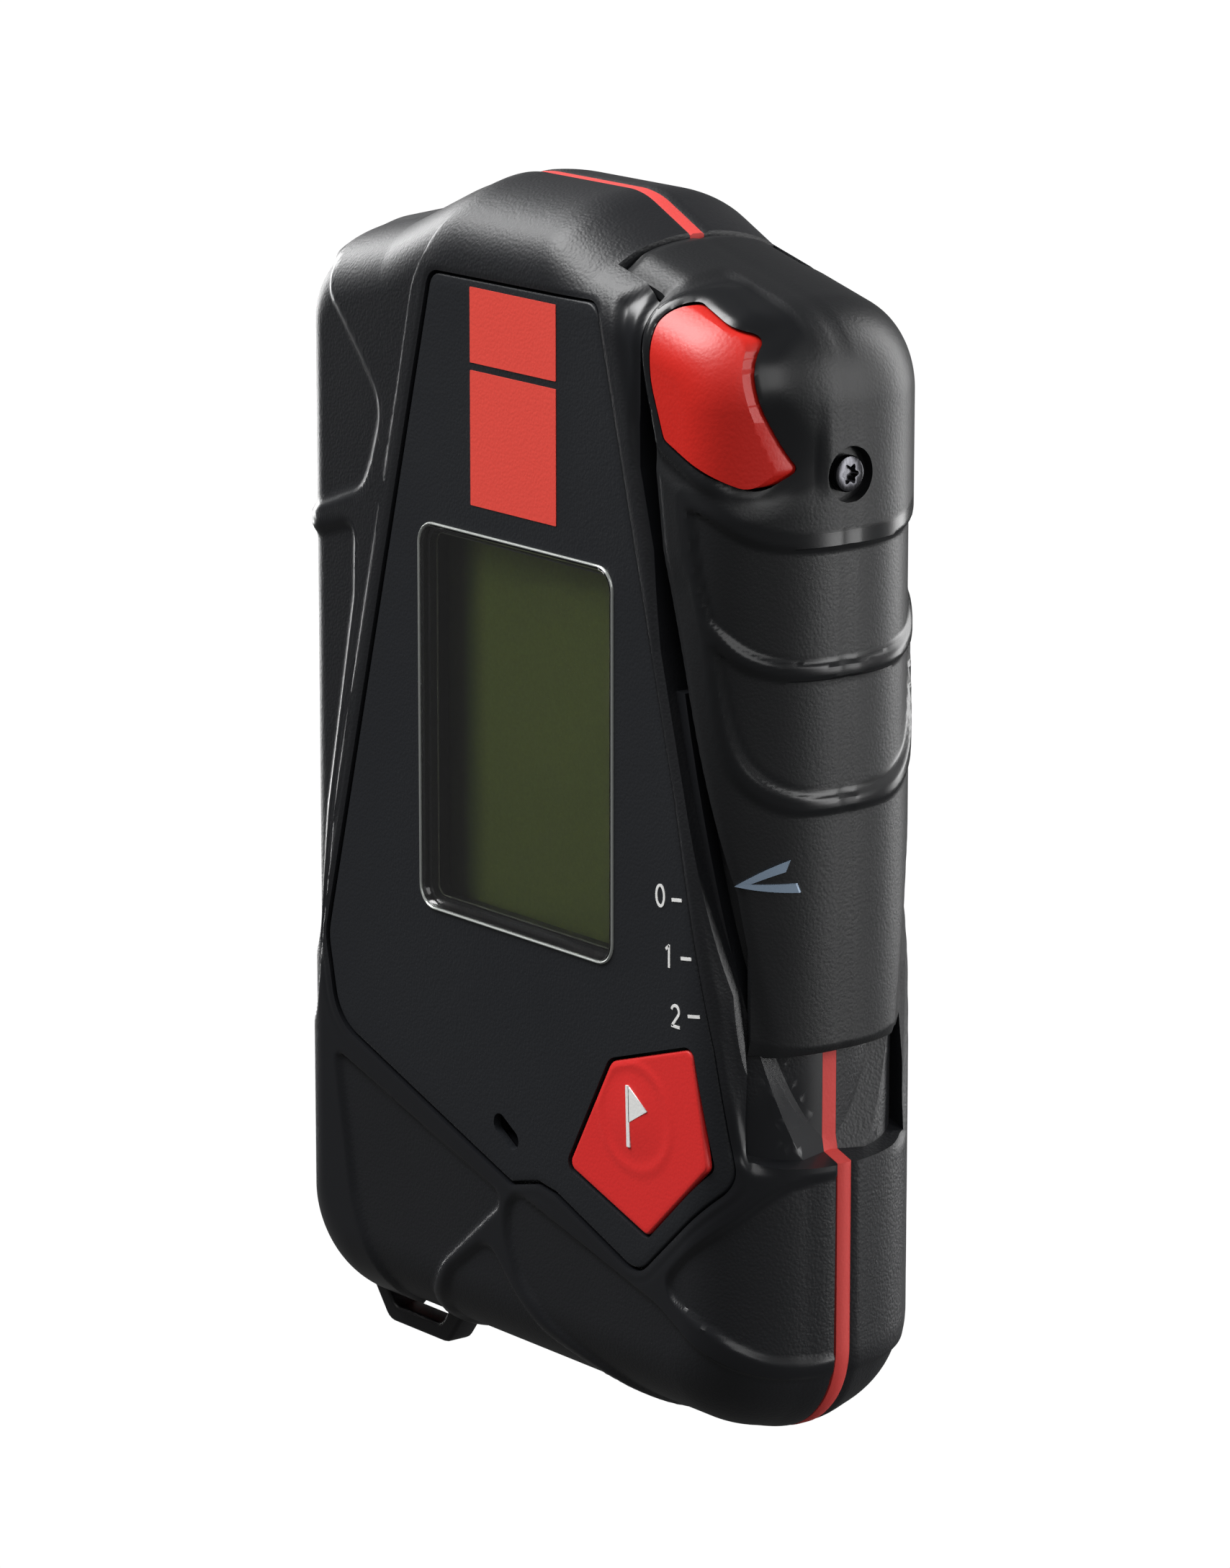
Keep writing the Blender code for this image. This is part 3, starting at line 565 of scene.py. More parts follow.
def inner_body(name, wall, spacing=0.7):
    """The whole body drawn in by a wall."""
    return whole_block(name, OUTLINE, HALF_DEPTH - wall, spacing, wall, 20)


def apply(item, step):
    bpy.context.view_layer.update()
    with bpy.context.temp_override(object=item, active_object=item, selected_objects=[item]):
        bpy.ops.object.modifier_apply(modifier=step.name)


def cut(target, *cutters, operation="DIFFERENCE", keep=False):
    for cutter in cutters:
        step = target.modifiers.new("cut", "BOOLEAN")
        step.operation = operation
        step.object = cutter
        step.solver = "MANIFOLD"
        apply(target, step)
        if not keep:
            bpy.data.objects.remove(cutter, do_unlink=True)
    return target


def bevelled(item, width, segments):
    """Rounds the sharp edges of a plain solid."""
    step = item.modifiers.new("edges", "BEVEL")
    step.width = width * MM
    step.segments = segments
    step.limit_method = "ANGLE"
    step.angle_limit = radians(35.0)
    apply(item, step)
    shade(item)
    return item


def dress(item, finish, grain=None, angle=40.0):
    """Gives a finished solid its material, its shading and where its grain lies."""
    item.data.materials.clear()
    item.data.materials.append(finish)
    shade(item, angle)
    for face in item.data.polygons:
        if face.area > LARGE_FACE * MM * MM:
            face.use_smooth = False
    if grain is not None:
        co = np.zeros(len(item.data.vertices) * 3)
        item.data.vertices.foreach_get("co", co)
        co = co.reshape(-1, 3) / MM - (0.0, 0.0, LIFT)
        values = grain(co[:, 0], co[:, 1], co[:, 2])
        layer = item.data.attributes.new("grain", "FLOAT", "POINT")
        layer.data.foreach_set("value", np.asarray(values, np.float32))
    return item


def rod(name, axis, centre, radius, start, end, sides=48):
    """A plain cylinder along an axis, between two places on it."""
    angles = np.arange(sides) * 2 * pi / sides
    turn = {"X": lambda a, u, v: (a, u, v), "Y": lambda a, u, v: (u, a, v), "Z": lambda a, u, v: (u, v, a)}[axis]
    rings = []
    for along in (start, end):
        spots = [turn(along, radius * cos(t), radius * sin(t)) for t in angles]
        rings.append(np.array(spots) + centre)
    return ring_solid(name, rings)


# ---------------------------------------------------------------- materials


def colour(r, g, b):
    """A colour given as the eye reads it (0-255), as scene-linear values."""
    return (*[v / 12.92 if v <= 0.04045 else ((v + 0.055) / 1.055) ** 2.4 for v in (r / 255, g / 255, b / 255)], 1.0)


def group(name, inputs, outputs):
    tree = bpy.data.node_groups.new(name, "ShaderNodeTree")
    for title, kind, value in inputs:
        socket = tree.interface.new_socket(name=title, in_out="INPUT", socket_type=kind)
        if value is not None:
            socket.default_value = value
    for title, kind in outputs:
        tree.interface.new_socket(name=title, in_out="OUTPUT", socket_type=kind)
    return tree, tree.nodes.new("NodeGroupInput"), tree.nodes.new("NodeGroupOutput")


def node(tree, kind, values=None, **settings):
    made = tree.nodes.new(kind)
    for key, value in settings.items():
        setattr(made, key, value)
    for key, value in (values or {}).items():
        made.inputs[key].default_value = value
    return made


def maths(tree, operation, first, second, clamp=False):
    made = node(tree, "ShaderNodeMath", operation=operation, use_clamp=clamp)
    for slot, value in enumerate((first, second)):
        if isinstance(value, (int, float)):
            made.inputs[slot].default_value = value
        else:
            tree.links.new(value, made.inputs[slot])
    return made.outputs[0]


def moulded_grain():
    """Leather-like pebbles of a moulded case, a fine tooth on them, and slow unevenness of the gloss."""
    inputs = [
        ("Vector", "NodeSocketVector", None),
        ("Pebbles", "NodeSocketFloat", 3400.0),
        ("Mask", "NodeSocketFloat", 1.0),
        ("Base Roughness", "NodeSocketFloat", 0.5),
    ]
    outputs = [("Height", "NodeSocketFloat"), ("Roughness", "NodeSocketFloat"), ("Shade", "NodeSocketFloat")]
    tree, given, result = group("moulded_grain", inputs, outputs)
    link = tree.links.new
    warp = node(tree, "ShaderNodeTexNoise", {"Scale": 900.0, "Detail": 2.0})
    link(given.outputs["Vector"], warp.inputs["Vector"])
    bent = node(tree, "ShaderNodeVectorMath", {1: (0.0004, 0.0004, 0.0004)}, operation="MULTIPLY")
    link(warp.outputs["Color"], bent.inputs[0])
    moved = node(tree, "ShaderNodeVectorMath", operation="ADD")
    link(given.outputs["Vector"], moved.inputs[0])
    link(bent.outputs[0], moved.inputs[1])
    cells = node(tree, "ShaderNodeTexVoronoi", {"Smoothness": 0.6}, feature="SMOOTH_F1")
    link(moved.outputs[0], cells.inputs["Vector"])
    link(given.outputs["Pebbles"], cells.inputs["Scale"])
    tooth = node(tree, "ShaderNodeTexNoise", {"Scale": 4200.0, "Detail": 3.0, "Roughness": 0.6})
    link(given.outputs["Vector"], tooth.inputs["Vector"])
    pebble = maths(tree, "SUBTRACT", 1.0, cells.outputs["Distance"])
    both = maths(tree, "ADD", pebble, maths(tree, "MULTIPLY", tooth.outputs["Fac"], 0.7))
    height = maths(tree, "MULTIPLY", both, given.outputs["Mask"])
    slow = node(tree, "ShaderNodeTexNoise", {"Scale": 60.0, "Detail": 3.0})
    link(given.outputs["Vector"], slow.inputs["Vector"])
    uneven = maths(tree, "MULTIPLY", maths(tree, "SUBTRACT", slow.outputs["Fac"], 0.5), 0.12)
    polish = maths(tree, "MULTIPLY", maths(tree, "SUBTRACT", 1.0, given.outputs["Mask"]), -0.16)
    rough = maths(tree, "ADD", given.outputs["Base Roughness"], maths(tree, "ADD", uneven, polish), True)
    shade_value = maths(tree, "ADD", 0.93, maths(tree, "MULTIPLY", tooth.outputs["Fac"], 0.14))
    link(height, result.inputs["Height"])
    link(rough, result.inputs["Roughness"])
    link(shade_value, result.inputs["Shade"])
    return tree


def brushed_lines():
    """Fine turning or drawing marks, stretched one way."""
    inputs = [("Vector", "NodeSocketVector", None), ("Base Roughness", "NodeSocketFloat", 0.3)]
    outputs = [("Height", "NodeSocketFloat"), ("Roughness", "NodeSocketFloat")]
    tree, given, result = group("brushed_lines", inputs, outputs)
    stretched = node(tree, "ShaderNodeMapping", {"Scale": (1.0, 1.0, 0.06)})
    tree.links.new(given.outputs["Vector"], stretched.inputs["Vector"])
    noise = node(tree, "ShaderNodeTexNoise", {"Scale": 6000.0, "Detail": 4.0})
    tree.links.new(stretched.outputs[0], noise.inputs["Vector"])
    wander = maths(tree, "MULTIPLY", maths(tree, "SUBTRACT", noise.outputs["Fac"], 0.5), 0.25)
    tree.links.new(noise.outputs["Fac"], result.inputs["Height"])
    tree.links.new(maths(tree, "ADD", given.outputs["Base Roughness"], wander, True), result.inputs["Roughness"])
    return tree


GRAIN = moulded_grain()
LINES = brushed_lines()


def blank(name):
    made = bpy.data.materials.new(name)
    made.use_nodes = True
    tree = made.node_tree
    return made, tree, tree.nodes["Principled BSDF"], tree.nodes.new("ShaderNodeTexCoord").outputs["Object"]


def set_inputs(shader, values):
    for key, value in values.items():
        shader.inputs[key].default_value = value


def moulded(name, rgb, rough, bump=0.03, pebbles=3400.0, masked=False, **values):
    """Grained or smooth moulded plastic; bump is the grain's depth in millimetres."""
    made, tree, shader, at = blank(name)
    link = tree.links.new
    grain = node(tree, "ShaderNodeGroup", node_tree=GRAIN)
    set_inputs(grain, {"Pebbles": pebbles, "Base Roughness": rough, "Mask": 1.0})
    link(at, grain.inputs["Vector"])
    if masked:
        mask = node(tree, "ShaderNodeAttribute", attribute_name="grain")
        link(mask.outputs["Fac"], grain.inputs["Mask"])
    tint = node(tree, "ShaderNodeVectorMath", {0: colour(*rgb)[:3]}, operation="SCALE")
    link(grain.outputs["Shade"], tint.inputs["Scale"])
    link(tint.outputs[0], shader.inputs["Base Color"])
    link(grain.outputs["Roughness"], shader.inputs["Roughness"])
    if bump:
        relief = node(tree, "ShaderNodeBump", {"Strength": 1.0, "Distance": bump * MM})
        link(grain.outputs["Height"], relief.inputs["Height"])
        link(relief.outputs[0], shader.inputs["Normal"])
    set_inputs(shader, values)
    return made


def metal(name, rgb, rough, bump=0.004):
    made, tree, shader, at = blank(name)
    lines = node(tree, "ShaderNodeGroup", node_tree=LINES)
    lines.inputs["Base Roughness"].default_value = rough
    tree.links.new(at, lines.inputs["Vector"])
    tree.links.new(lines.outputs["Roughness"], shader.inputs["Roughness"])
    relief = node(tree, "ShaderNodeBump", {"Distance": bump * MM})
    tree.links.new(lines.outputs["Height"], relief.inputs["Height"])
    tree.links.new(relief.outputs[0], shader.inputs["Normal"])
    set_inputs(shader, {"Base Color": colour(*rgb), "Metallic": 1.0})
    return made


def clear_window():
    made, tree, shader, at = blank("clear_window")
    haze = node(tree, "ShaderNodeTexNoise", {"Scale": 300.0, "Detail": 3.0})
    tree.links.new(at, haze.inputs["Vector"])
    tree.links.new(maths(tree, "MULTIPLY", haze.outputs["Fac"], 0.02), shader.inputs["Roughness"])
    set_inputs(shader, {"Transmission Weight": 1.0, "IOR": 1.49, "Base Color": (1.0, 1.0, 1.0, 1.0)})
    return made


def display_olive():
    """The unlit display: olive reflector with a fine tooth, darkened on the left by painted shade from the well's
    wall, and painted a little lighter towards the top where the light falls.
    """
    made, tree, shader, at = blank("display_olive")
    link = tree.links.new
    split = node(tree, "ShaderNodeSeparateXYZ")
    link(at, split.inputs[0])
    # Painted shade: the colour falls to 0.06 towards the well's left wall, as its shadow.
    shadow = {"From Min": -10.8 * MM, "From Max": -5.9 * MM, "To Min": 0.06, "To Max": 1.0}
    side = node(tree, "ShaderNodeMapRange", shadow, interpolation_type="SMOOTHSTEP")
    link(split.outputs["X"], side.inputs["Value"])
    # Painted light: the colour grows a little lighter towards the top, where the light falls.
    up = node(tree, "ShaderNodeMapRange", {"From Min": -14 * MM, "From Max": 26 * MM, "To Min": 0.86, "To Max": 1.12})
    link(split.outputs["Z"], up.inputs["Value"])
    tooth = node(tree, "ShaderNodeTexNoise", {"Scale": 3800.0, "Detail": 3.0, "Roughness": 0.7})
    link(at, tooth.inputs["Vector"])
    speck = maths(tree, "ADD", 0.75, maths(tree, "MULTIPLY", tooth.outputs["Fac"], 0.5))
    level = maths(tree, "MULTIPLY", maths(tree, "MULTIPLY", side.outputs[0], up.outputs[0]), speck)
    tint = node(tree, "ShaderNodeVectorMath", {0: colour(90, 101, 47)[:3]}, operation="SCALE")
    link(level, tint.inputs["Scale"])
    link(tint.outputs[0], shader.inputs["Base Color"])
    relief = node(tree, "ShaderNodeBump", {"Distance": 0.01 * MM})
    link(tooth.outputs["Fac"], relief.inputs["Height"])
    link(relief.outputs[0], shader.inputs["Normal"])
    set_inputs(shader, {"Roughness": 0.55, "Specular IOR Level": 0.25})
    return made


CHARCOAL = (25, 26, 29)
body_finish = moulded("body_finish", CHARCOAL, 0.44, 0.022, masked=True)
switch_finish = moulded("switch_finish", (23, 24, 26), 0.42, 0.013, masked=True)
panel_finish = moulded("panel_finish", (26, 28, 32), 0.48, 0.02)
red_finish = moulded("red_finish", (208, 34, 24), 0.42, 0.014, 2800.0)
key_finish = moulded("key_finish", (228, 44, 42), 0.5, 0.010, 3200.0)
seal_finish = moulded("seal_finish", (214, 66, 62), 0.62, 0.01)
print_finish = moulded("print_finish", (232, 74, 62), 0.55, 0.013)
white_finish = moulded("white_finish", (243, 243, 241), 0.5, 0.012)
dark_finish = moulded("dark_finish", (20, 20, 22), 0.4, 0.006)
gloss_dark = moulded("gloss_dark", (12, 12, 13), 0.2, 0.0)
window_finish = clear_window()
olive_finish = display_olive()
# The polished window rim: its light grey diffuse colour is partly a painted highlight, standing in for its
# reflection.
rim_and_glint_finish = moulded("rim_and_glint_finish", (196, 200, 196), 0.16, 0.0, Metallic=0.5)
# Painted glints: the light grey-olive colour of the thin bands at the edges of the display well's steps.
step_glint_finish = moulded("step_glint_finish", (96, 100, 88), 0.2, 0.0)
steel_finish = metal("steel_finish", (190, 190, 188), 0.3)
screw_finish = metal("screw_finish", (88, 88, 92), 0.26)
chevron_finish = moulded("chevron_finish", (158, 178, 200), 0.22, 0.002, Metallic=0.35)
copper_finish = metal("copper_finish", (190, 110, 70), 0.35, 0.02)
board_finish = moulded("board_finish", (18, 74, 44), 0.35, 0.01, 900.0)
ferrite_finish = moulded("ferrite_finish", (58, 58, 60), 0.6, 0.02)
chip_finish = moulded("chip_finish", (30, 30, 32), 0.55, 0.01)
diffuser_finish = moulded("diffuser_finish", (200, 204, 190), 0.5, 0.005)
sleeve_finish = moulded("sleeve_finish", (70, 76, 84), 0.3, 0.004)

# Finishes of the parts that keep their plain shape.
NODE_FINISHES = [
    (olive_finish, ["lcd_glass"]),
    (diffuser_finish, ["lcd_backlight"]),
    (board_finish, ["main_board"]),
    (chip_finish, ["key_switch", "processor_chip", "radio_chip", "motion_sensor", "buzzer"]),
    (chip_finish, [f"hall_sensor_{number}" for number in (1, 2, 3)]),
    (ferrite_finish, [f"antenna_rod_{axis}" for axis in "xyz"]),
    (copper_finish, [f"antenna_coil_{axis}" for axis in "xyz"]),
    (sleeve_finish, ["battery_cell"]),
    (steel_finish, ["key_dome", "battery_plate", "battery_spring", "spring_plate", "slider_magnet"]),
    (seal_finish, ["door_seal"]),
    (dark_finish, ["slider_runner"]),
]
for finish, node_names in NODE_FINISHES:
    for node_name in node_names:
        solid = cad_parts[node_name]
        solid.data.materials.clear()
        solid.data.materials.append(finish)

# ---------------------------------------------------------------- cutters shared by the shells


def core_block():
    """The core that the mode switch slides round."""
    return whole_block("core_block", CORE_OUTLINE, CORE_HALF_DEPTH, 0.7, steps=20)


def ramp(side):
    """The sloping shoulder between the track's ledge and the edge of the face, just under the full outline."""
    rows = []
    for depth in (0.0, 14.0):
        rows += [(33.3 - 0.22 * (z + 27) + 0.165 * (depth - 7), side * depth, z) for z in (-30.0, 14.0)]
    points = rows + [(10.0, y, z) for _, y, z in rows]
    faces = [(0, 1, 3, 2), (4, 6, 7, 5), (0, 4, 5, 1), (2, 3, 7, 6), (0, 2, 6, 4), (1, 5, 7, 3)]
    return cut(make("ramp", points, faces), inner_body("inset", RAMP_INSET, 0.8), operation="INTERSECT")


def track_cutters():
    middle = [(13.0, -27.0), (30.0, -27.0), *track_bottom(), (BESIDE, ABOVE), (13.0, ABOVE)]
    made = [prism("track_faces", track_zone()), prism("track_middle", middle, -8.9, 8.9)]
    for cutter in made:
        cut(cutter, core_block(), ramp(-1), ramp(1))
    return made


def cavity_block():
    made = whole_block("cavity_block", OUTLINE, 9.6, 1.2, wall=2.0)
    edge = [(min(x - GAP - 2.0, CORE_RIGHT - 8.5), z - TRAVEL) for x, z in SWITCH_EDGE[1:]]
    beyond = [(10.8, ABOVE), (10.8, 39.3), *edge, (edge[-1][0], -ABOVE), (BESIDE, -ABOVE), (BESIDE, ABOVE)]
    corner = [(-BESIDE, -ABOVE), (-13.0, -ABOVE), (-13.0, -49.5), (-BESIDE, -49.5)]
    return cut(made, prism("beyond", beyond), prism("eye_corner", corner))


NOTCH = [(-29.6, -60.0), (-29.6, -51.6), (-16.4, -51.6), (-16.4, -60.0)]
EYE = [
    (-31.0, -48.8, 0.6),
    (-31.0, -53.2, 1.5),
    (-27.4, -57.9, 1.5),
    (-17.9, -57.9, 1.5),
    (-14.6, -53.6, 1.5),
    (-14.6, -50.6, 0.6),
    (-16.9, -50.6, 0.4),
    (-16.9, -53.2, 1.0),
    (-19.0, -56.2, 1.0),
    (-26.4, -56.2, 1.0),
    (-28.7, -53.0, 1.0),
    (-28.7, -48.8, 0.4),
]


def slot_outline(grow):
    half, radius, tilt = 1.1, 0.95 + grow, -0.55
    ends = [(1, -pi / 2), (-1, pi / 2)]
    spots = [(end * half + radius * cos(a + pi * k / 16), radius * sin(a + pi * k / 16)) for end, a in ends
             for k in range(17)]
    return [(-0.1 + x * cos(tilt) - z * sin(tilt), -31.6 + x * sin(tilt) + z * cos(tilt)) for x, z in spots]


def window_rectangle(margin, spacing=0.4):
    x0, x1, z0, z1 = WINDOW
    return rectangle(x0 - margin, x1 + margin, z0 - margin, z1 + margin, max(WINDOW_RADIUS + margin, 0.3), spacing)


# ---------------------------------------------------------------- shells

front = shell_block("front_case", -1, front_relief, outline(grown(PANEL, GAP), 0.3), PANEL_MIDDLE, POCKET_FLOOR, 1.3)
cavity = cavity_block()
cut(front, cavity, keep=True)
cut(front, *track_cutters())
cut(
    front,
    prism("well", window_rectangle(-0.9), -THROUGH, -5),
    prism("slot", slot_outline(0.3), -THROUGH, -5),
    rod("stem", "Y", (18.9, 0, -26.0), 2.3, -THROUGH, -5),
    prism("notch", NOTCH, -6.6, 6.6),
    prism("eye_pocket", outline(grown(EYE, GAP), 0.4), -5.7, 1.0),
)
dress(front, body_finish, front_grain)
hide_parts("front_shell")
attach(front, "root")

DOOR_OUTLINE = rectangle(DOOR[0], DOOR[1], DOOR[2], DOOR[3], 2.0)
CELL_OPENING = rectangle(DOOR[0] + 0.01, DOOR[1] - 0.01, DOOR[2] + 0.01, CELL_OPENING_TOP, 2.0)
rear = shell_block("rear_case", 1, rear_relief, DOOR_OUTLINE, DOOR_MIDDLE, 10.2, 1.6)
cut(rear, cavity)
cut(rear, *track_cutters())
cut(
    rear,
    prism("cell_opening", CELL_OPENING, 5, THROUGH),
    prism("notch", NOTCH, -6.6, 6.6),
    rod("door_bore", "Y", (DOOR_SCREW[0], 0, DOOR_SCREW[1]), 1.4, 5, THROUGH),
    *[rod("counterbore", "Y", (x, 0, z), 2.6, 10.3, THROUGH) for x, z in SHELL_SCREWS],
    *[rod("bore", "Y", (x, 0, z), 1.4, 0, THROUGH) for x, z in SHELL_SCREWS],
)
dress(rear, body_finish, lambda x, y, z: np.ones(len(x)))
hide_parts("rear_shell")
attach(rear, "root")

seal = ring_solid("edge_seal", [flat_ring(ring(drawn_in(OUTLINE, wall), point_counts(drawn_in(OUTLINE), 0.6)), y)
                                for wall, y in ((0.24, -0.78), (0.12, -0.5), (0.12, 0.5), (0.24, 0.78))])
cut(seal, cavity_block())
cut(seal, *track_cutters())
cut(seal, prism("notch", NOTCH, -6.6, 6.6))
dress(seal, seal_finish)
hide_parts("perimeter_seal")
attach(seal, "root")

# ---------------------------------------------------------------- panel, prints and display


def soft_plate(name, points, y_front, y_back, soft, steps):
    """A flat plate with its front edge rounded over."""
    rings = []
    for k in range(steps + 1):
        angle = pi / 2 * k / steps
        inset = soft * (1 - cos(angle))
        rings.append(flat_ring(shrunk(points, inset), y_front + soft * (1 - sin(angle))))
    return ring_solid(name, [*rings[::-1], flat_ring(points, y_back)])


def surface_depth(x):
    """How far out the case's face stands at this distance to the right, where its right edge falls away."""
    share = np.clip((OUTLINE[1][0] - np.asarray(x, float)) / OUTLINE[1][3], 0, 1)
    angle = np.arccos(np.clip(1 - share, 0, 1) ** (ROUNDNESS / 2))
    return HALF_DEPTH * np.sin(angle) ** (2 / ROUNDNESS)


def curved_plate(name, points, centre, inset, thick, soft, rows=46):
    """A plate whose face lies just under the case's surface and bends with it, its front edge rounded."""
    points, centre = np.asarray(points), np.array(centre)

    def bent(spots, under):
        return np.c_[spots[:, 0], -surface_depth(spots[:, 0]) + inset + under, spots[:, 1]]

    angles = np.linspace(0, pi / 2, 4)
    rounded = [bent(shrunk(points, soft * (1 - cos(angle))), soft * (1 - sin(angle))) for angle in angles]
    edge = rounded[-1][:, [0, 2]]
    face = [bent(edge + (centre - edge) * share, 0) for share in np.linspace(0, 1, rows)[1:-1]]
    back = [bent(points + (centre - points) * share, thick) for share in (0.9, 0.5, 0.25, 0.12, 0.0)]
    return ring_solid(name, [*back, *rounded, *face])


def shrunk(points, inset):
    """A closed outline moved inwards along its normals."""
    points = np.asarray(points, float)
    along = np.roll(points, -1, 0) - np.roll(points, 1, 0)
    normal = np.c_[-along[:, 1], along[:, 0]] / (np.hypot(*along.T)[:, None] + 1e-12)
    x, z = points.T
    area = (x * np.roll(z, -1) - np.roll(x, -1) * z).sum()
    return points + normal * inset * np.sign(area)


panel = curved_plate("face_panel", outline(PANEL, 0.5), PANEL_MIDDLE, HALF_DEPTH - PANEL_FRONT, 0.8, 0.2)
cut(
    panel,
    prism("window_hole", window_rectangle(0.0), -THROUGH, -5),
    prism("slot_hole", slot_outline(0.0), -THROUGH, -5),
    prism("key_hole", outline(grown(KEY, GAP), 0.3), -THROUGH, -5),
)
dress(panel, panel_finish)
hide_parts("front_panel")
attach(panel, "root")

PRINT_FRONT = -PANEL_FRONT - 0.06


def inlay(name, outlines, finish, body="root", front=PRINT_FRONT, back=-PANEL_FRONT + 0.05):
    """Thin printed or inlaid shapes, joined into one piece."""
    made = [prism(f"{name}_{i}", points, front, back) for i, points in enumerate(outlines)]
    if body == "root":
        for item in made:
            for vertex in item.data.vertices:
                vertex.co.y += (HALF_DEPTH - float(surface_depth(vertex.co.x / MM))) * MM
    for extra in made[1:]:
        join(made[0], extra)
    made[0].name = name
    dress(made[0], finish)
    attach(made[0], body)
    return made[0]


def join(target, other):
    """Puts another mesh's faces into this one."""
    builder = bmesh.new()
    builder.from_mesh(target.data)
    builder.from_mesh(other.data)
    builder.to_mesh(target.data)
    builder.free()
    bpy.data.objects.remove(other, do_unlink=True)
    return target


inlay("upper_print", [rectangle(-5.0, 7.7, 39.5, 46.4, 0.1, 1.0)], print_finish)
inlay("lower_print", [rectangle(-5.0, 7.7, 26.4, 38.8, 0.1, 1.0)], print_finish)


def stroke(path, width):
    """A line of even width with square ends."""
    path = np.array(path, float)
    run = np.gradient(path, axis=0)
    normal = np.c_[-run[:, 1], run[:, 0]] / (np.hypot(*run.T)[:, None] + 1e-12) * width / 2
    return np.vstack([path + normal, (path - normal)[::-1]])


def digit_paths(digit):
    """Strokes of a digit in a box one wide and 1.6 high."""
    turn = np.linspace(0, 2 * pi, 33)
    if digit == 0:
        ring_path = np.c_[0.5 - 0.42 * np.sin(turn), 0.8 + 0.72 * np.cos(turn)]
        return [ring_path[:17], ring_path[16:]]
    if digit == 1:
        return [[(0.55, 0.0), (0.55, 1.6)], [(0.2, 1.25), (0.55, 1.55)]]
    bend = np.linspace(pi * 0.93, -pi * 0.22, 15)
    top = np.c_[0.48 + 0.4 * np.cos(bend), 1.13 + 0.4 * np.sin(bend)]
    return [np.vstack([top, [(0.12, 0.08)]]), [(0.06, 0.07), (0.96, 0.07)]]


def digit_outlines(digit, x, z, height):
    scale = height / 1.6
    width = 0.2 * scale
    return [stroke(np.array(path) * scale + (x, z), width) for path in digit_paths(digit)]


marks = []
for digit, (x, z) in enumerate([(22.1, -5.6), (23.3, -10.9), (24.3, -16.2)]):
    marks += digit_outlines(digit, x, z, 2.1)
for x, z in [(24.4, -4.6), (25.7, -9.7), (26.7, -14.8)]:
    marks.append(stroke([(x, z), (x + 1.4, z + 0.2)], 0.3))
inlay("mode_marks", marks, white_finish)


def window_band(name, sections, finish):
    """A ring round the window, given by the (margin, y) corners of its section."""
    x0, x1, z0, z1 = WINDOW

    def corners(margin):
        radius = max(WINDOW_RADIUS + margin, 0.3)
        return [(x0 - margin, z0 - margin, radius), (x1 + margin, z0 - margin, radius),
                (x1 + margin, z1 + margin, radius), (x0 - margin, z1 + margin, radius)]

    counts = point_counts(corners(0.0), 0.5)
    rows = [flat_ring(ring(corners(margin), counts), y) for margin, y in sections]
    count = len(rows[0])
    faces = skin_faces(len(rows), count).tolist()
    last = (len(rows) - 1) * count
    faces += [(last + i, last + (i + 1) % count, (i + 1) % count, i) for i in range(count)]
    made = make(name, np.vstack(rows), faces, finish)
    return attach(made, "root")


# The polished rim round the window; its light grey colour is partly a painted highlight of its reflection.
RIM_SECTION = [(-0.01, -11.5), (-0.02, -11.84), (-0.07, -11.92), (-0.15, -11.96), (-0.23, -11.92), (-0.28, -11.84),
               (-0.29, -11.5)]
window_band("window_rim", RIM_SECTION, rim_and_glint_finish)
# Thin light bands at the edges of the well's steps: painted glints.
for step, (margin, y) in enumerate([(-0.72, -10.28), (-1.12, -9.95)]):
    section = [(margin, y + 0.12), (margin, y), (margin - 0.1, y), (margin - 0.1, y + 0.12)]
    window_band(f"window_step_glint_{step}", section, step_glint_finish)

lens = soft_plate("display_pane", window_rectangle(-0.3), -11.9, -10.8, 0.2, 5)
dress(lens, window_finish)
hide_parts("display_window")
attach(lens, "root")

x0, x1, z0, z1 = WINDOW
bezel = prism("display_frame", rectangle(x0 - 1.5, x1 + 1.5, z0 - 1.5, z1 + 1.5, 1.0), -10.3, -8.6)
cut(bezel, prism("hole", window_rectangle(-1.1), -9.9, -5), prism("hole", window_rectangle(-0.7), -THROUGH, -9.8))
dress(bezel, gloss_dark)
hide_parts("display_bezel")
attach(bezel, "root")

# ---------------------------------------------------------------- flag key


def domed_cap(name, points, y_front, y_back, soft, centre, half_width, half_height, lift):
    """A flat key with rounded edges and a shallow oval dome on it."""
    rings = [flat_ring(points, y_back)]
    for k in range(5):
        angle = pi / 2 * k / 4
        rings.append(flat_ring(shrunk(points, soft * (1 - cos(angle))), y_front + soft * (1 - sin(angle))))
    edge = shrunk(points, soft)
    centre = np.array(centre)
    for share in np.linspace(0, 1, 25)[1:-1]:
        spots = edge + (centre - edge) * share
        across, up = (spots - centre).T
        reach = np.hypot(across / half_width, up / half_height)
        rise = lift * (1 - smooth(reach)) + 0.07 * smooth((reach - 0.8) / 0.2) * (1 - smooth((reach - 1.0) / 0.12))
        ring_points = flat_ring(spots, y_front)
        ring_points[:, 1] -= rise * (reach < 1.25)
        rings.append(ring_points)
    return ring_solid(name, rings)


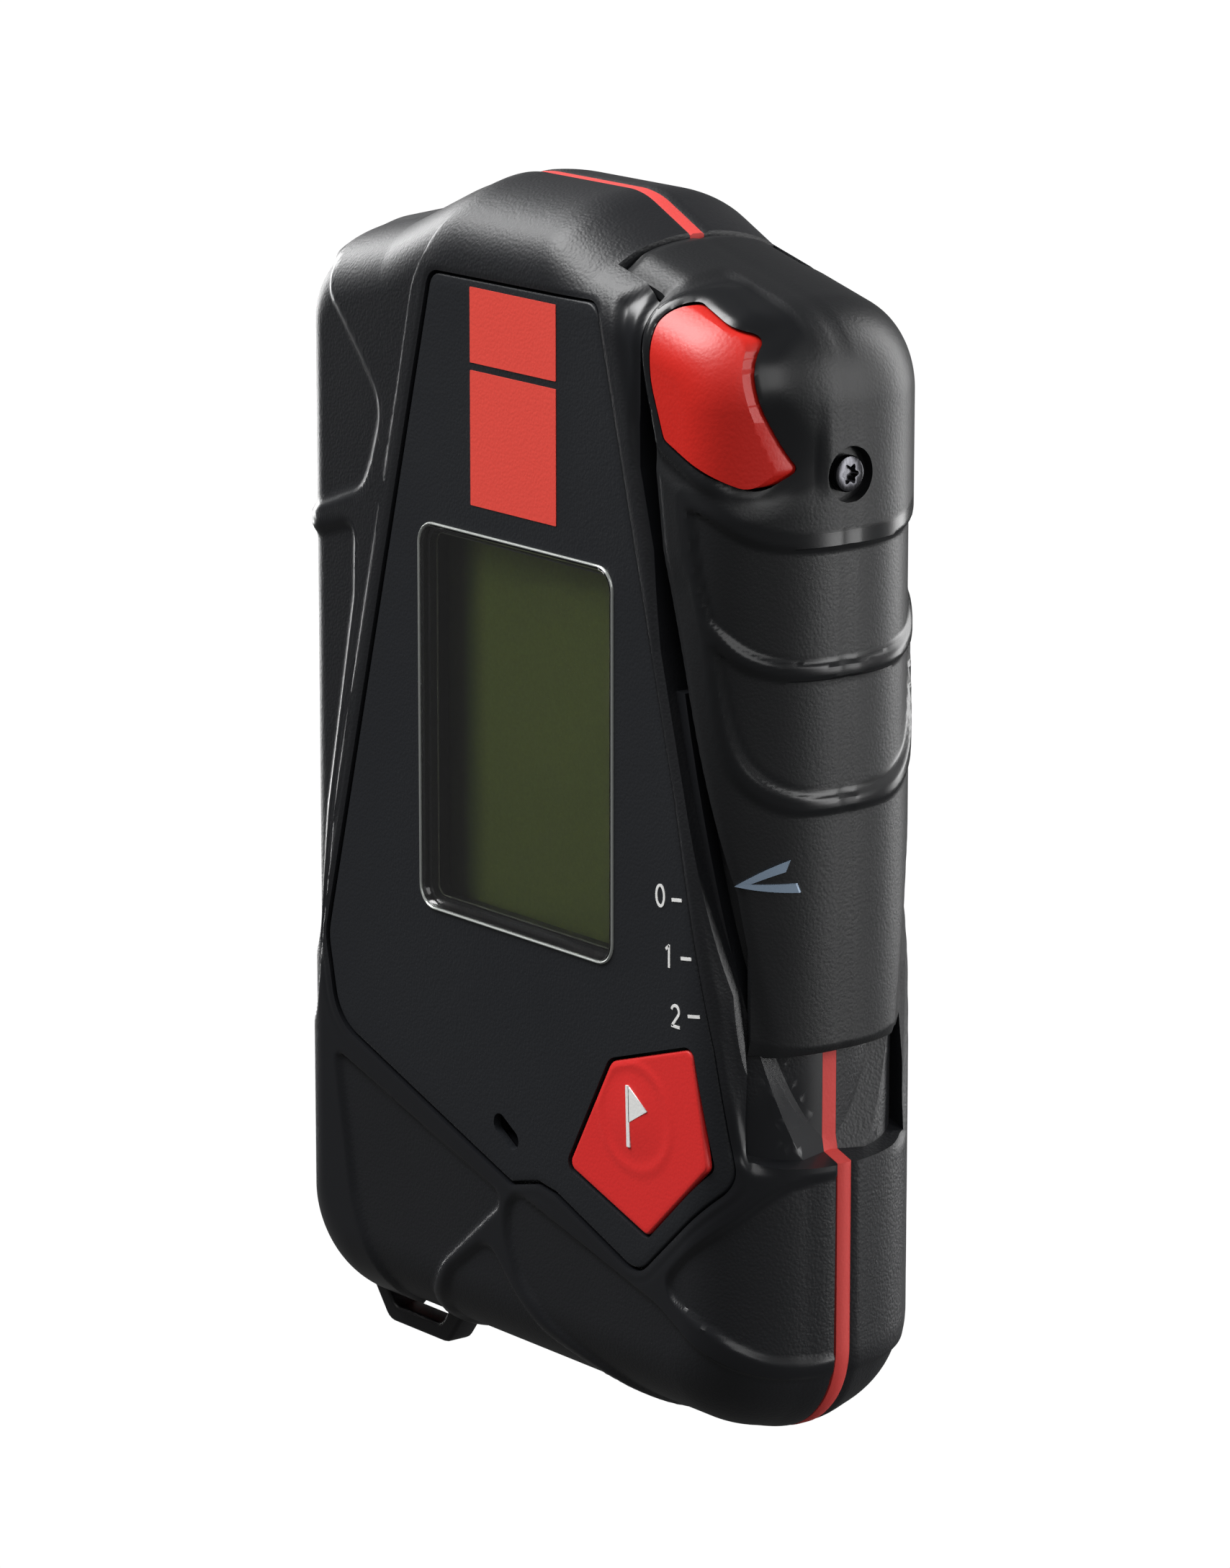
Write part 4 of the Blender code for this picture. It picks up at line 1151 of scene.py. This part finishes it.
key = domed_cap("flag_cap", outline(KEY, 0.35), -11.65, -11.0, 0.25, (18.9, -25.9), 5.2, 5.0, 0.16)
join(key, rod("key_stem", "Y", (18.9, 0, -26.0), 2.0, -10.99, -8.8))
dress(key, key_finish)
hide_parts("flag_button")
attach(key, "flag_key")
pole = stroke([(18.0, -23.1), (18.2, -28.8)], 0.45)
flag = [(18.15, -23.1), (18.25, -26.5), (20.9, -24.9)]
mark = inlay("flag_mark", [pole, flag], white_finish, "flag_key", -11.83, -11.5)

# ---------------------------------------------------------------- mode switch


def switch_block():
    """The corner of the body that the mode switch forms, wrapped from face to face."""
    edge_counts = point_counts(drawn_in(SWITCH_OUTLINE), 0.3)
    angles = profile_angles(34, 0.0)
    front_rings = edge_rings(SWITCH_OUTLINE, edge_counts, angles, -1)
    back_rings = edge_rings(SWITCH_OUTLINE, edge_counts, angles[1:], 1)
    around = np.array([*front_rings[::-1], *back_rings])
    middle = around[len(front_rings) - 1]
    face_edge = around[0]
    start = next(i for i in range(len(middle)) if middle[i][2] >= SLIDER_BOTTOM and middle[i][0] > 30)
    stop = next(i for i in range(start, len(middle)) if face_edge[i][0] < 11.0)
    around = around[:, start:stop]
    columns = around.shape[1]
    first_drop = SLIDER_BOTTOM - around[:, 0, 2]
    around[:, 0, 2] += first_drop
    inner_z = np.linspace(SLIDER_BOTTOM, 44.0, columns)
    steps = 52
    share = np.linspace(1, 0, steps + 1)[:-1, None, None]
    inner_front = np.c_[np.full(columns, 9.0), np.full(columns, -HALF_DEPTH), inner_z]
    inner_back = inner_front * (1, -1, 1)
    face = around[0] + (inner_front - around[0]) * share
    back = around[-1] + (inner_back - around[-1]) * share[::-1]
    grid = np.vstack([face, around, back])
    normal = open_normals(grid)
    normal[:, 0, 2] = 0
    relief = switch_relief(grid[..., 0], grid[..., 1], grid[..., 2])
    grid = grid - normal * relief[..., None]
    return ring_solid("mode_cover", list(np.swapaxes(grid, 0, 1)))


switch = switch_block()
left_of_edge = [(-20.0, ABOVE), *SWITCH_LINE, (-20.0, BELOW)]
cut(
    switch,
    prism("left_front", left_of_edge, -THROUGH, -8.6),
    prism("left_back", left_of_edge, 8.6, THROUGH),
    prism("left_middle", [(-20.0, BELOW), (13.4, BELOW), (13.4, ABOVE), (-20.0, ABOVE)]),
    inner_body("switch_inside", SLIDER_WALL),
    cut(inner_body("skirt_inside", SLIDER_SKIRT), rod("screw_boss", "X", (0, 0, SCREW_Z), 4.0, 20, BESIDE)),
    prism("lock_hole", outline(grown(LOCK, GAP), 0.3), -THROUGH, -4.0),
    rod("screw_bore", "X", (0, 0, SCREW_Z), 1.4, 30, BESIDE),
    rod("screw_counterbore", "X", (0, 0, SCREW_Z), 2.5, 33.4, BESIDE),
)
dress(switch, switch_finish, switch_grain)
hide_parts("slider_cover")
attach(switch, "mode_switch")


def lock_block():
    """Outer and inner surface of the lock button, the outer one a little under the mode switch's."""
    counts = point_counts(drawn_in(SWITCH_OUTLINE, 0.05), 0.3)
    rings = edge_rings(SWITCH_OUTLINE, counts, profile_angles(30, 0.0), -1, HALF_DEPTH - 0.05, 0.05)
    around = np.array(rings[::-1])
    keep = [i for i in range(around.shape[1]) if around[0, i, 0] > 14 and around[-1, i, 2] > 22]
    around = around[:, keep]
    columns = around.shape[1]
    inner = np.c_[np.full(columns, 14.0), np.full(columns, -HALF_DEPTH + 0.05), np.linspace(24.0, 46.0, columns)]
    share = np.linspace(1, 0, 50)[:-1, None, None]
    grid = np.vstack([around[0] + (inner - around[0]) * share, around])
    normal = open_normals(grid)
    x, z = grid[..., 0], grid[..., 2]
    inside = depth_inside(x, z, outline(LOCK, 0.3))
    rim = [(30.6, 45.8), (31.0, 43.0), (31.2, 40.0), (32.4, 35.2)]
    relief = 0.42 + 0.28 * (1 - smooth(inside / 0.7)) + 0.25 * smooth((x - 25.0) / 4.0)
    relief -= 0.3 * (1 - smooth(distance(x, z, rim) / 1.4)) * smooth(inside / 0.7)
    grid = grid - normal * relief[..., None]
    return grid, grid - (3.2, -3.2, 0)


def open_sheet_solid(name, top, bottom):
    """A closed solid between two open grids of the same size."""
    rows, columns = top.shape[:2]
    count = rows * columns
    low = np.arange(columns - 1)
    quads = np.vstack([np.c_[r * columns + low, r * columns + low + 1, (r + 1) * columns + low + 1,
                             (r + 1) * columns + low] for r in range(rows - 1)])
    border = [*range(columns), *[r * columns + columns - 1 for r in range(1, rows)],
              *[(rows - 1) * columns + c for c in range(columns - 2, -1, -1)],
              *[r * columns for r in range(rows - 2, 0, -1)]]
    walls = [(a, b, b + count, a + count) for a, b in zip(border, border[1:] + border[:1], strict=True)]
    faces = [*quads.tolist(), *(quads[:, ::-1] + count).tolist(), *walls]
    points = np.vstack([top.reshape(-1, 3), bottom.reshape(-1, 3)])
    return make(name, points, faces)


lock = open_sheet_solid("lock_cap", *lock_block())
cut(lock, prism("lock_zone", outline(LOCK, 0.3), -THROUGH, -5.1), operation="INTERSECT")
cut(lock, inner_body("lock_inside", SLIDER_WALL))
dress(lock, red_finish)
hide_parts("lock_button")
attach(lock, "lock")

# ---------------------------------------------------------------- eye, screws, chevron, door

eye = bevelled(prism("cord_eye", outline(EYE, 0.5), -5.4, -2.6), 0.5, 3)
dress(eye, dark_finish)
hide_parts("lanyard_eye")
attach(eye, "root")


def star_screw(name, axis, centre, seat, top, head, shank, tip, body, node_name):
    """A pan head with a six-lobed socket, on its shank."""
    sides = 72
    angles = np.arange(sides) * 2 * pi / sides
    turn = {"X": lambda a, u, v: (a, u, v), "Y": lambda a, u, v: (u, a, v)}[axis]
    rise = top - seat
    lobes = head * (0.46 + 0.09 * np.cos(6 * angles))

    def circle(along, radius):
        radius = np.broadcast_to(radius, (sides,))
        return np.array([turn(along, r * cos(t), r * sin(t)) for r, t in zip(radius, angles, strict=True)]) + centre

    rings = [circle(tip, shank), circle(seat, shank), circle(seat, head), circle(seat + rise * 0.55, head)]
    rings += [circle(seat + rise * 0.9, head * 0.93), circle(top, head * 0.8), circle(top, lobes * 1.08)]
    rings += [circle(top - rise * 0.12, lobes), circle(seat + rise * 0.15, lobes)]
    made = ring_solid(name, rings)
    dress(made, screw_finish, None, 30)
    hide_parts(node_name)
    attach(made, body)
    return made


star_screw("mode_screw", "X", (0, 0, SCREW_Z), 33.7, 34.45, 1.65, 0.9, 30.6, "mode_switch", "slider_screw")
for number, (x, z) in enumerate(SHELL_SCREWS, 1):
    star_screw(f"case_screw_{number}", "Y", (x, 0, z), 10.6, 11.9, 2.3, 1.1, -5.5, "root", f"shell_screw_{number}")
star_screw("cell_door_screw", "Y", (DOOR_SCREW[0], 0, DOOR_SCREW[1]), 11.2, 11.95, 2.7, 1.2, 6.6, "door_fastener",
           "door_screw")

door = soft_plate("cell_door", rectangle(DOOR[0] + GAP, DOOR[1] - GAP, DOOR[2] + GAP, DOOR[3] - GAP, 1.7),
                  -12.0, -10.5, 0.5, 4)
door.data.transform(Matrix.Scale(-1, 4, (0, 1, 0)))
door.data.flip_normals()
cut(door, rod("bore", "Y", (DOOR_SCREW[0], 0, DOOR_SCREW[1]), 1.5, 5, THROUGH),
    rod("counterbore", "Y", (DOOR_SCREW[0], 0, DOOR_SCREW[1]), 3.0, 11.0, THROUGH))
for row in range(5):
    z = -42.6 + row * 1.7
    cut(door, prism("groove", rectangle(-11.5, -0.5, z - 0.4, z + 0.4, 0.38), 11.6, THROUGH))
dress(door, moulded("door_finish", CHARCOAL, 0.44, 0.016))
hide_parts("battery_door")
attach(door, "door")


def chevron_inlay():
    """The pointer of the mode switch: two tapered arms that meet at the left, bent over the edge."""
    tip, notch = np.array((31.0, -2.35)), np.array((31.95, -2.15))
    upper = (tip, (33.65, -0.1)), (notch, (33.5, -1.15))
    lower = (notch, (33.85, -2.25)), (tip, (33.95, -3.1))
    made = []
    for number, sides in enumerate((upper, lower)):
        flat = np.stack([start + (np.array(end) - start) * np.linspace(0, 1, 15)[:, None] for start, end in sides], 1)
        out = surface_depth(flat[..., 0]) - POINTER_SUNK
        top = np.dstack([flat[..., 0] + 0.02, -out - 0.1, flat[..., 1]])
        bottom = np.dstack([flat[..., 0] - 0.15, -out + 0.25, flat[..., 1]])
        made.append(open_sheet_solid(f"arm_{number}", top, bottom))
    join(*made)
    return made[0]


chevron = chevron_inlay()
chevron.name = "mode_pointer"
dress(chevron, chevron_finish)
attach(chevron, "mode_switch")

# ---------------------------------------------------------------- camera, light and floor

TARGET = Vector((16.52, -12.0, 5.67)) * MM
AZIMUTH, ELEVATION, RANGE = radians(52.0), radians(13.438), 0.6115
aim = Vector((sin(AZIMUTH) * cos(ELEVATION), -cos(AZIMUTH) * cos(ELEVATION), sin(ELEVATION)))
camera_data = bpy.data.cameras.new("camera")
camera_data.lens = 157.83
camera_data.sensor_width = 36.0
camera = bpy.data.objects.new("camera", camera_data)
camera.location = TARGET + aim * RANGE
camera.rotation_euler = aim.to_track_quat("Z", "Y").to_euler()
bpy.context.scene.collection.objects.link(camera)
bpy.context.scene.camera = camera


def softbox(name, place_at, size, watts):
    """A rectangular lamp that looks at the body's middle."""
    data = bpy.data.lights.new(name, "AREA")
    data.shape = "RECTANGLE"
    data.size, data.size_y = size
    data.energy = watts
    made = bpy.data.objects.new(name, data)
    made.location = place_at
    made.rotation_euler = place_at.to_track_quat("Z", "Y").to_euler()
    bpy.context.scene.collection.objects.link(made)
    return made


def frame_of_view(right, up, towards):
    """A point given along the camera's own axes, in metres."""
    side = Vector((cos(AZIMUTH), sin(AZIMUTH), 0.0))
    top = aim.cross(side)
    return TARGET + side * right + top * up + aim * towards


softbox("top_left_box", frame_of_view(-0.55, 0.75, 0.1), (0.7, 0.5), 14.0)
softbox("left_back_box", frame_of_view(-0.5, 0.35, -0.75), (0.3, 0.8), 7.0)
softbox("right_back_box", frame_of_view(0.75, 0.3, -0.4), (0.3, 0.9), 6.0)
softbox("right_side_box", frame_of_view(0.85, 0.1, 0.3), (0.25, 0.8), 4.0)
softbox("front_fill", frame_of_view(0.25, 0.35, 1.1), (0.7, 0.7), 3.0)

world = bpy.data.worlds.new("world")
world.use_nodes = True
bpy.context.scene.world = world
tree = world.node_tree
tree.nodes.clear()
WHITE = (1.0, 1.0, 1.0, 1.0)
rays = tree.nodes.new("ShaderNodeLightPath")
seen = node(tree, "ShaderNodeBackground", {"Color": WHITE, "Strength": 1.0})
dim = node(tree, "ShaderNodeBackground", {"Color": WHITE, "Strength": 0.10})
mix = tree.nodes.new("ShaderNodeMixShader")
tree.links.new(rays.outputs["Is Camera Ray"], mix.inputs["Fac"])
tree.links.new(dim.outputs[0], mix.inputs[1])
tree.links.new(seen.outputs[0], mix.inputs[2])
tree.links.new(mix.outputs[0], tree.nodes.new("ShaderNodeOutputWorld").inputs["Surface"])

floor_z = (-57.9 + LIFT - 0.9) * MM
floor_mesh = bpy.data.meshes.new("floor")
floor_mesh.from_pydata([(x, y, floor_z) for x, y in ((-3, -3), (3, -3), (3, 3), (-3, 3))], [], [(0, 1, 2, 3)])
floor = bpy.data.objects.new("floor", floor_mesh)
bpy.context.scene.collection.objects.link(floor)
floor_finish, tree, shader, _ = blank("floor_finish")
set_inputs(shader, {"Base Color": (0.02, 0.02, 0.02, 1), "Roughness": 0.05, "Specular IOR Level": 0.3})
glow = node(tree, "ShaderNodeEmission", {"Color": WHITE, "Strength": 1.13})
blend = node(tree, "ShaderNodeMixShader", {"Fac": 0.9})
tree.links.new(shader.outputs[0], blend.inputs[1])
tree.links.new(glow.outputs[0], blend.inputs[2])
tree.links.new(blend.outputs[0], tree.nodes["Material Output"].inputs["Surface"])
floor_mesh.materials.append(floor_finish)
floor.visible_diffuse = False
floor.visible_glossy = False
floor.visible_shadow = False
floor.visible_transmission = False

bpy.context.scene.view_settings.view_transform = "Standard"
